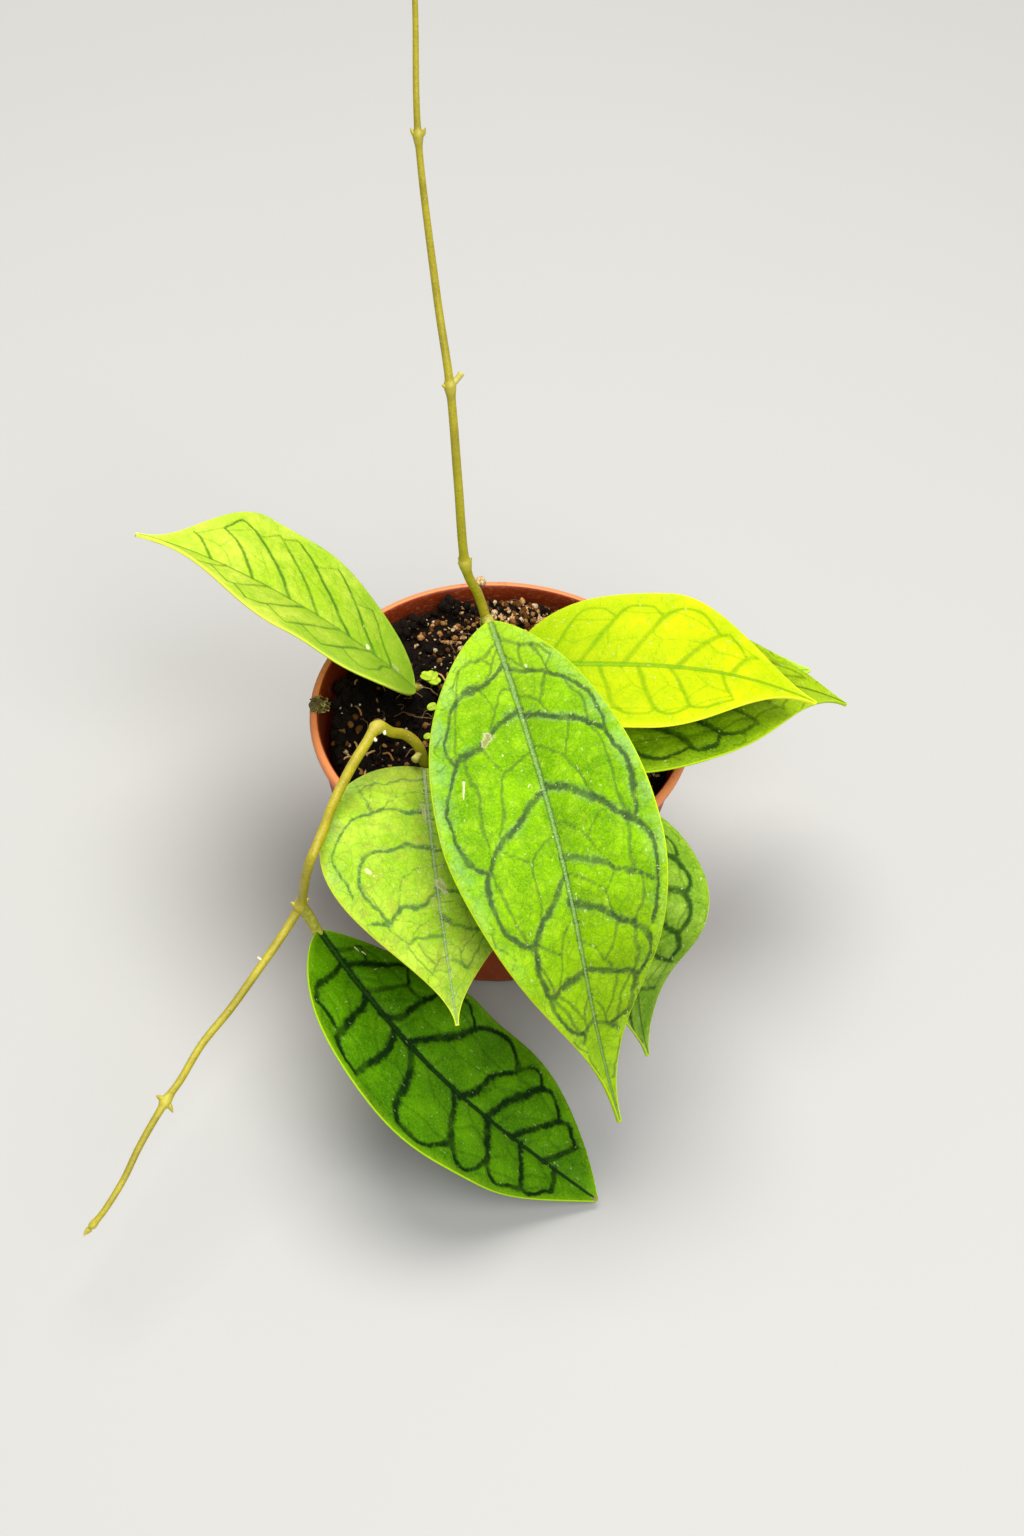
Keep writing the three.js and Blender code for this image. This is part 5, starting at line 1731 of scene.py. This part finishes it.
def fibre_grower():
    """Scatters short bent strands over a surface."""
    tree = Grower("scattered fibres", where="text", density="float", length="float",
                  thickness="float", arch="float", lift="float", seed="int")
    spots = tree.spots(FIBRE_TONE_SEED)
    arc = tree.add("GeometryNodeCurveQuadraticBezier", {
        "Resolution": 9, "Start": (-0.5, 0.0, -0.06), "Middle": (0.05, 0.3, 0.5),
        "End": (0.5, 0.0, -0.04)})
    angle = tree.drawn((-0.5, -0.35, 0.0), (0.5, 0.35, TURN), FIBRE_ANGLE_SEED)
    size = tree.times(tree.drawn(0.45, 1.3, FIBRE_SIZE_SEED), tree.given("length"))
    arched = tree.times(size, tree.given("arch"))
    scale = tree.add("ShaderNodeCombineXYZ", {"X": size, "Y": arched, "Z": arched})
    lines = tree.copies(spots, arc, Rotation=angle, Scale=scale)
    lines = tree.shaken(lines, 0.35, tree.times(tree.given("arch"), FIBRE_BEND * MM))
    return tree.end(tree.skin(lines, FIBRE_SIDES, tree.given("thickness")))


def scatter_ground(name):
    """A plain copy of the soil's top that says where each kind of granule lies."""
    points, faces = soil_top(*GROUND_GRID)
    x, y = points[:, 0], points[:, 1]
    away = np.hypot(x, y)
    inside = (away < soil_side(SOIL_LEVEL) - 1.8).astype(float)
    heap = np.exp(-((x - 12) ** 2 / 30 ** 2 + (y - 37) ** 2 / 14 ** 2))
    left = 0.1 * np.exp(-((x + 36) ** 2 + (y + 8) ** 2) / 14 ** 2)
    front = 0.14 * np.exp(-((x + 24) ** 2 + (y + 30) ** 2) / 10 ** 2)
    right = 0.3 * np.exp(-((x - 34) ** 2 + (y + 14) ** 2) / 20 ** 2)
    wall = (away > soil_side(SOIL_LEVEL) - 4) & (np.cos(np.arctan2(y, x) - math.pi) > 0.3)
    values = {"heap": (heap + left + front + right + 0.03) * inside, "all": inside,
              "wall": wall * inside}
    return Shell().add(points, faces, **values).piece(name, [])


class WAXVINE_OT_soil(bpy.types.Operator):
    """Fill the pot with its bed of peat"""

    bl_idname = "wax_vine.soil"
    bl_label = "Soil bed"

    def execute(self, context):
        sizes = context.scene.wax_vine_mix
        kept(soil_body(peat_finish(sizes, "peat_bed", 0.35)), "potting_mix", "soil")
        return {"FINISHED"}


class WAXVINE_OT_granules(bpy.types.Operator):
    """Scatter peat crumbs, bark, white grit, clods, fibres and slivers over the bed"""

    bl_idname = "wax_vine.granules"
    bl_label = "Granules"

    SEED_STEP = 10

    def execute(self, context):
        sizes = context.scene.wax_vine_mix
        # Name, where it lies, how dense, smallest and largest, flatness, roughness, lift, finish
        granules = [
            ("peat_crumbs", "all", sizes.crumb_density, (0.6, 3.0), 0.7, 1.3, 0.2,
             peat_finish(sizes, "peat_crumbs", 0.6)),
            ("bark_granules", "heap", sizes.bark_density, (0.8, 2.6), 0.75, 1.2, 0.5,
             bark_finish(sizes)),
            ("pale_grains", "all", 16000, (0.35, 1.0), 0.8, 0.3, 0.4, pale_finish()),
            ("wall_clods", "wall", 260000, (2.4, 4.6), 0.9, 1.8, 1.3,
             peat_finish(sizes, "wall_clods", 0.4)),
        ]
        # Name, how dense, length, thickness, arch, lift, what it adds to the seed, two colours
        fibres = [
            ("peat_fibres", 14000.0, 7, 0.13, 1.0, 0.0, 0, ("a07a4e", "4a331f")),
            ("wood_slivers", 9000.0, 3.4, 0.3, 0.5, 0.9, 4, ("d8a86c", "8a5a28")),
        ]
        tree = granule_grower()
        for number, (name, where, density, span, flat, rough, lift, finish) in enumerate(granules):
            kept(tree.grow(
                name, scatter_ground(name + "_ground"), where=where, density=density,
                smallest=span[0] * MM, largest=span[1] * MM, flatness=flat,
                roughness=rough * MM, lift=lift * MM,
                seed=sizes.seed + self.SEED_STEP * number, finish=finish,
            ), "potting_mix")
        tree = fibre_grower()
        for name, density, length, thickness, arch, lift, more, tints in fibres:
            kept(tree.grow(
                name, scatter_ground(name + "_ground"), where="all", density=density,
                length=length * MM, thickness=thickness * MM, arch=arch, lift=lift * MM,
                seed=sizes.seed + more, finish=fibre_finish(name, *tints),
            ), "potting_mix")
        return {"FINISHED"}


# Small things on the soil and the lip


def seedling_finish():
    """Thin, bright young leaflets with a darker middle."""
    f = Finish("seedling")
    where = f.places()
    base = f.coated("b8d80c", (
        (f.between(f.noise(where, 0.9, 3), 0.35, 0.65), 1.0, "dcf030"),
        (f.below(f.value("across"), 0.0, 0.35), 0.6, "8cb814"),
    ))
    return f.finish(base, 0.5, f.bump(f.noise(where, 3.0, 2), 0.1, 0.5),
                    (0.35, colour("e4f830")), Specular_IOR_Level=0.4)


def leaflet(middle, radius, turn, tip):
    """A small round leaf, folded a little along its middle, with a notch at its tip."""
    rings, sides = 7, 20
    points, across = [], []
    for ring in range(rings + 1):
        out = ring / rings
        for k in range(sides):
            angle = k / sides * TURN
            notch = 1 - 0.22 * math.exp(-(((angle + math.pi) % TURN - math.pi) / 0.35) ** 2)
            x = radius * out * notch * math.cos(angle)
            y = radius * 0.86 * out * math.sin(angle)
            points.append((x, y, 0.16 * abs(y) - 0.1 * radius * out ** 2))
            across.append(abs(y) / radius)
    top = np.array(points)
    turned = np.stack([
        top[:, 0] * math.cos(turn) - top[:, 1] * math.sin(turn),
        top[:, 0] * math.sin(turn) + top[:, 1] * math.cos(turn),
        top[:, 2] + tip * top[:, 0],
    ], -1) + middle
    thin = 0.12
    points = np.concatenate([turned + (0, 0, thin), turned - (0, 0, thin)])
    below = len(top)
    faces = []
    for ring in range(rings):
        for k in range(sides):
            a, n = ring * sides + k, ring * sides + (k + 1) % sides
            if ring:
                faces.append((a, a + sides, n + sides, n))
                faces.append((below + a, below + n, below + n + sides, below + a + sides))
            else:
                faces.append((0, a + sides, n + sides))
                faces.append((below, below + n + sides, below + a + sides))
    for k in range(sides):
        a, n = rings * sides + k, rings * sides + (k + 1) % sides
        faces.append((a, below + a, below + n, n))
    used = sorted({corner for face in faces for corner in face})
    order = {corner: i for i, corner in enumerate(used)}
    faces = [[order[corner] for corner in face] for face in faces]
    return points[used], faces, np.array(across + across)[used]


class WAXVINE_OT_seedlings(bpy.types.Operator):
    """Make the three seedlings that stand in the mix"""

    bl_idname = "wax_vine.seedlings"
    bl_label = "Seedlings"

    def execute(self, context):
        finish = seedling_finish()
        for name, seedling in SEEDLINGS.items():
            shell = Shell()
            route = smooth_route([seedling["foot"], seedling["top"]], 12)
            points, faces = tube(route, np.full(len(route), 0.38), 10)
            shell.add(points, faces, across=np.full(len(points), 0.1))
            for x, y, z in seedling["leaflets"]:
                middle = np.array(seedling["top"]) + (x, y, z)
                turn = math.atan2(y, x) if x or y else 0.6
                points, faces, across = leaflet(middle, seedling["radius"], turn, 0.12)
                shell.add(points, faces, across=across)
            kept(shell.piece(name + "_leaves", [finish]), "seedling", name)
        return {"FINISHED"}


def stone(centre, size, turn, seed):
    """A rough granule: a ball of points pushed in and out."""
    rings, sides = 9, 14
    points = [(0, 0, 1)]
    for ring in range(1, rings):
        tilt = ring / rings * math.pi
        for k in range(sides):
            around = k / sides * TURN
            points.append((math.sin(tilt) * math.cos(around), math.sin(tilt) * math.sin(around),
                           math.cos(tilt)))
    points.append((0, 0, -1))
    shaped = []
    for x, y, z in points:
        push = 1 + 0.32 * noise.noise(Vector((x * 1.6 + seed, y * 1.6, z * 1.6)))
        x, y, z = x * push * size[0], y * push * size[1], z * push * size[2]
        shaped.append((x * math.cos(turn) - y * math.sin(turn),
                       x * math.sin(turn) + y * math.cos(turn), z))
    faces = []
    last = len(points) - 1
    for k in range(sides):
        n = (k + 1) % sides
        faces.append((0, 1 + k, 1 + n))
        faces.append((last, last - sides + n, last - sides + k))
        for ring in range(rings - 2):
            a = 1 + ring * sides
            faces.append((a + k, a + sides + k, a + sides + n, a + n))
    return np.array(shaped) + centre, faces


class WAXVINE_OT_lip_crumbs(bpy.types.Operator):
    """Lay the grit and the tuft of fibre on the lip"""

    bl_idname = "wax_vine.lip_crumbs"
    bl_label = "Crumbs on the lip"

    GRIT = (-8.6, 50.2)
    TUFT = (-50.6, -2.6)

    def execute(self, context):
        top = POT_HEIGHT + GAP
        turn = math.atan2(self.GRIT[1], self.GRIT[0])
        shell = Shell()
        points, faces = stone((*self.GRIT, top + 0.9), (1.9, 1.5, 1.1), turn, 3.0)
        shell.add(points, faces, tone=np.full(len(points), 0.8))
        points, faces = stone((-11.4, 49.4, top + 0.3), (0.7, 0.6, 0.5), 0.4, 8.0)
        shell.add(points, faces, tone=np.full(len(points), 0.5))
        grit = shell.piece("lip_grit", [bark_finish(context.scene.wax_vine_mix)])
        kept(grit, "grit", "grit_on_rim")

        draw = random.Random(11)
        shell = Shell()
        for _ in range(60):
            start = Vector((*self.TUFT, top)) + Vector((
                draw.uniform(-1.6, 3.6), draw.uniform(-2.8, 2.2), draw.uniform(0.0, 0.9)))
            way = draw.gauss(-0.35, 1.3)
            reach = draw.uniform(0.7, 1.6)
            lean = Vector((math.cos(way) * reach, math.sin(way) * reach, draw.uniform(-0.4, 0.5)))
            bend = Vector((draw.uniform(-0.6, 0.6), draw.uniform(-0.6, 0.6),
                           draw.uniform(0.1, 0.7)))
            route = smooth_route([start - lean * 0.5, start + bend, start + lean * 0.5], 5)
            radii = np.interp(np.linspace(0, 1, len(route)), (0, 0.5, 1), (0.14, 0.26, 0.08))
            points, faces = tube(route, radii, 6)
            shell.add(points, faces, tone=np.full(len(points), draw.random() ** 2))
        for _ in range(16):
            centre = (self.TUFT[0] + draw.uniform(-1.2, 1.6), self.TUFT[1] + draw.uniform(-2, 2),
                      top + 0.4)
            size = [draw.uniform(0.6, 1.1) for _ in range(3)]
            points, faces = stone(centre, size, draw.uniform(0, TURN), draw.uniform(0, 9))
            shell.add(points, faces, tone=np.full(len(points), 0.1))
        tuft = shell.piece("lip_fibre", [fibre_finish("lip_fibre", "b0a658", "443a16")])
        kept(tuft, "fibre", "fibre_on_rim")
        return {"FINISHED"}


# Studio


def lamp(name, place, size, power, tint):
    """An area lamp that looks at the plant."""
    data = bpy.data.lights.new(name, "AREA")
    data.shape = "DISK"
    data.size = size
    data.energy = power
    data.color = tint
    made = bpy.data.objects.new(name, data)
    bpy.context.scene.collection.objects.link(made)
    made.location = place
    made.rotation_mode = "QUATERNION"
    made.rotation_quaternion = (AIM * MM - Vector(place)).to_track_quat("-Z", "Y")


class WAXVINE_OT_stage(bpy.types.Operator):
    """Set up the floor, the lamps and the camera"""

    bl_idname = "wax_vine.stage"
    bl_label = "Stage"

    FLOOR_REACH = 3.0

    def floor(self, tint):
        f = Finish("studio_floor")
        cloud = f.noise(f.places(), 0.004, 2)
        base = f.mix(cloud, (*tint, 1.0), tuple(min(1.0, v * 1.04) for v in tint) + (1.0,))
        finish = f.finish(base, 0.8, Specular_IOR_Level=0.2)
        reach = self.FLOOR_REACH
        mesh = bpy.data.meshes.new("floor")
        corners = [(-reach, -reach, 0), (reach, -reach, 0), (reach, reach, 0), (-reach, reach, 0)]
        mesh.from_pydata(corners, [], [(0, 1, 2, 3)])
        mesh.materials.append(finish)
        placed("floor", mesh)

    def camera(self):
        data = bpy.data.cameras.new("camera")
        data.lens = FOCAL_LENGTH
        data.sensor_width = 36
        data.clip_start = 0.05
        data.clip_end = 20
        made = bpy.data.objects.new("camera", data)
        bpy.context.scene.collection.objects.link(made)
        view = Vector((0, math.cos(CAMERA_ELEVATION), -math.sin(CAMERA_ELEVATION)))
        level = Vector((1, 0, 0))
        right = math.cos(CAMERA_ROLL) * level + math.sin(CAMERA_ROLL) * level.cross(view)
        up = right.cross(view)
        turn = Matrix((right, up, -view)).transposed().to_4x4()
        made.matrix_world = Matrix.Translation((AIM - CAMERA_DISTANCE * view) * MM) @ turn
        bpy.context.scene.camera = made

    def execute(self, context):
        settings = context.scene.wax_vine_stage
        self.floor(settings.floor)
        lamp("key_lamp", (-0.1, 0.3, 1.4), 1.0, settings.key_power, (1.0, 0.98, 0.93))
        lamp("fill_lamp", (0.5, -1.0, 1.3), 1.2, settings.fill_power, (0.98, 0.98, 1.0))
        world = bpy.data.worlds.new("studio")
        world.use_nodes = True
        sky = world.node_tree.nodes["Background"]
        sky.inputs["Color"].default_value = (0.95, 0.97, 1.0, 1.0)
        sky.inputs["Strength"].default_value = settings.sky
        context.scene.world = world
        context.scene.view_settings.view_transform = "Standard"
        self.camera()
        return {"FINISHED"}


class WAXVINE_PT_panel(bpy.types.Panel):
    """Lists the steps that build the plant, in order"""

    bl_idname = "WAXVINE_PT_panel"
    bl_label = "Wax vine"
    bl_space_type = "VIEW_3D"
    bl_region_type = "UI"
    bl_category = "Wax vine"

    def draw(self, context):
        layout = self.layout
        for step in STEPS:
            layout.operator(step.bl_idname, text=step.bl_label)
        for group in GROUPS:
            settings = getattr(context.scene, group)
            for name in GROUPS[group].__annotations__:
                layout.prop(settings, name)


STEPS = (
    WAXVINE_OT_pot, WAXVINE_OT_soil, WAXVINE_OT_granules, WAXVINE_OT_stems, WAXVINE_OT_leaves,
    WAXVINE_OT_seedlings, WAXVINE_OT_lip_crumbs, WAXVINE_OT_stage,
)
GROUPS = {
    "wax_vine_sizes": PlantSizes, "wax_vine_leaves": LeafColours, "wax_vine_mix": MixSizes,
    "wax_vine_pot": PotSizes, "wax_vine_stage": StageSettings,
}


def register():
    for group in GROUPS.values():
        bpy.utils.register_class(group)
    for name, group in GROUPS.items():
        setattr(bpy.types.Scene, name, PointerProperty(type=group))
    for made in (*STEPS, WAXVINE_PT_panel):
        bpy.utils.register_class(made)


def unregister():
    for made in (WAXVINE_PT_panel, *reversed(STEPS)):
        bpy.utils.unregister_class(made)
    for name, group in GROUPS.items():
        delattr(bpy.types.Scene, name)
        bpy.utils.unregister_class(group)


def main():
    register()
    bpy.ops.wax_vine.pot()
    bpy.ops.wax_vine.soil()
    bpy.ops.wax_vine.granules()
    bpy.ops.wax_vine.stems()
    bpy.ops.wax_vine.leaves()
    bpy.ops.wax_vine.seedlings()
    bpy.ops.wax_vine.lip_crumbs()
    bpy.ops.wax_vine.stage()
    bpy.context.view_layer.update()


if __name__ == "__main__":
    main()
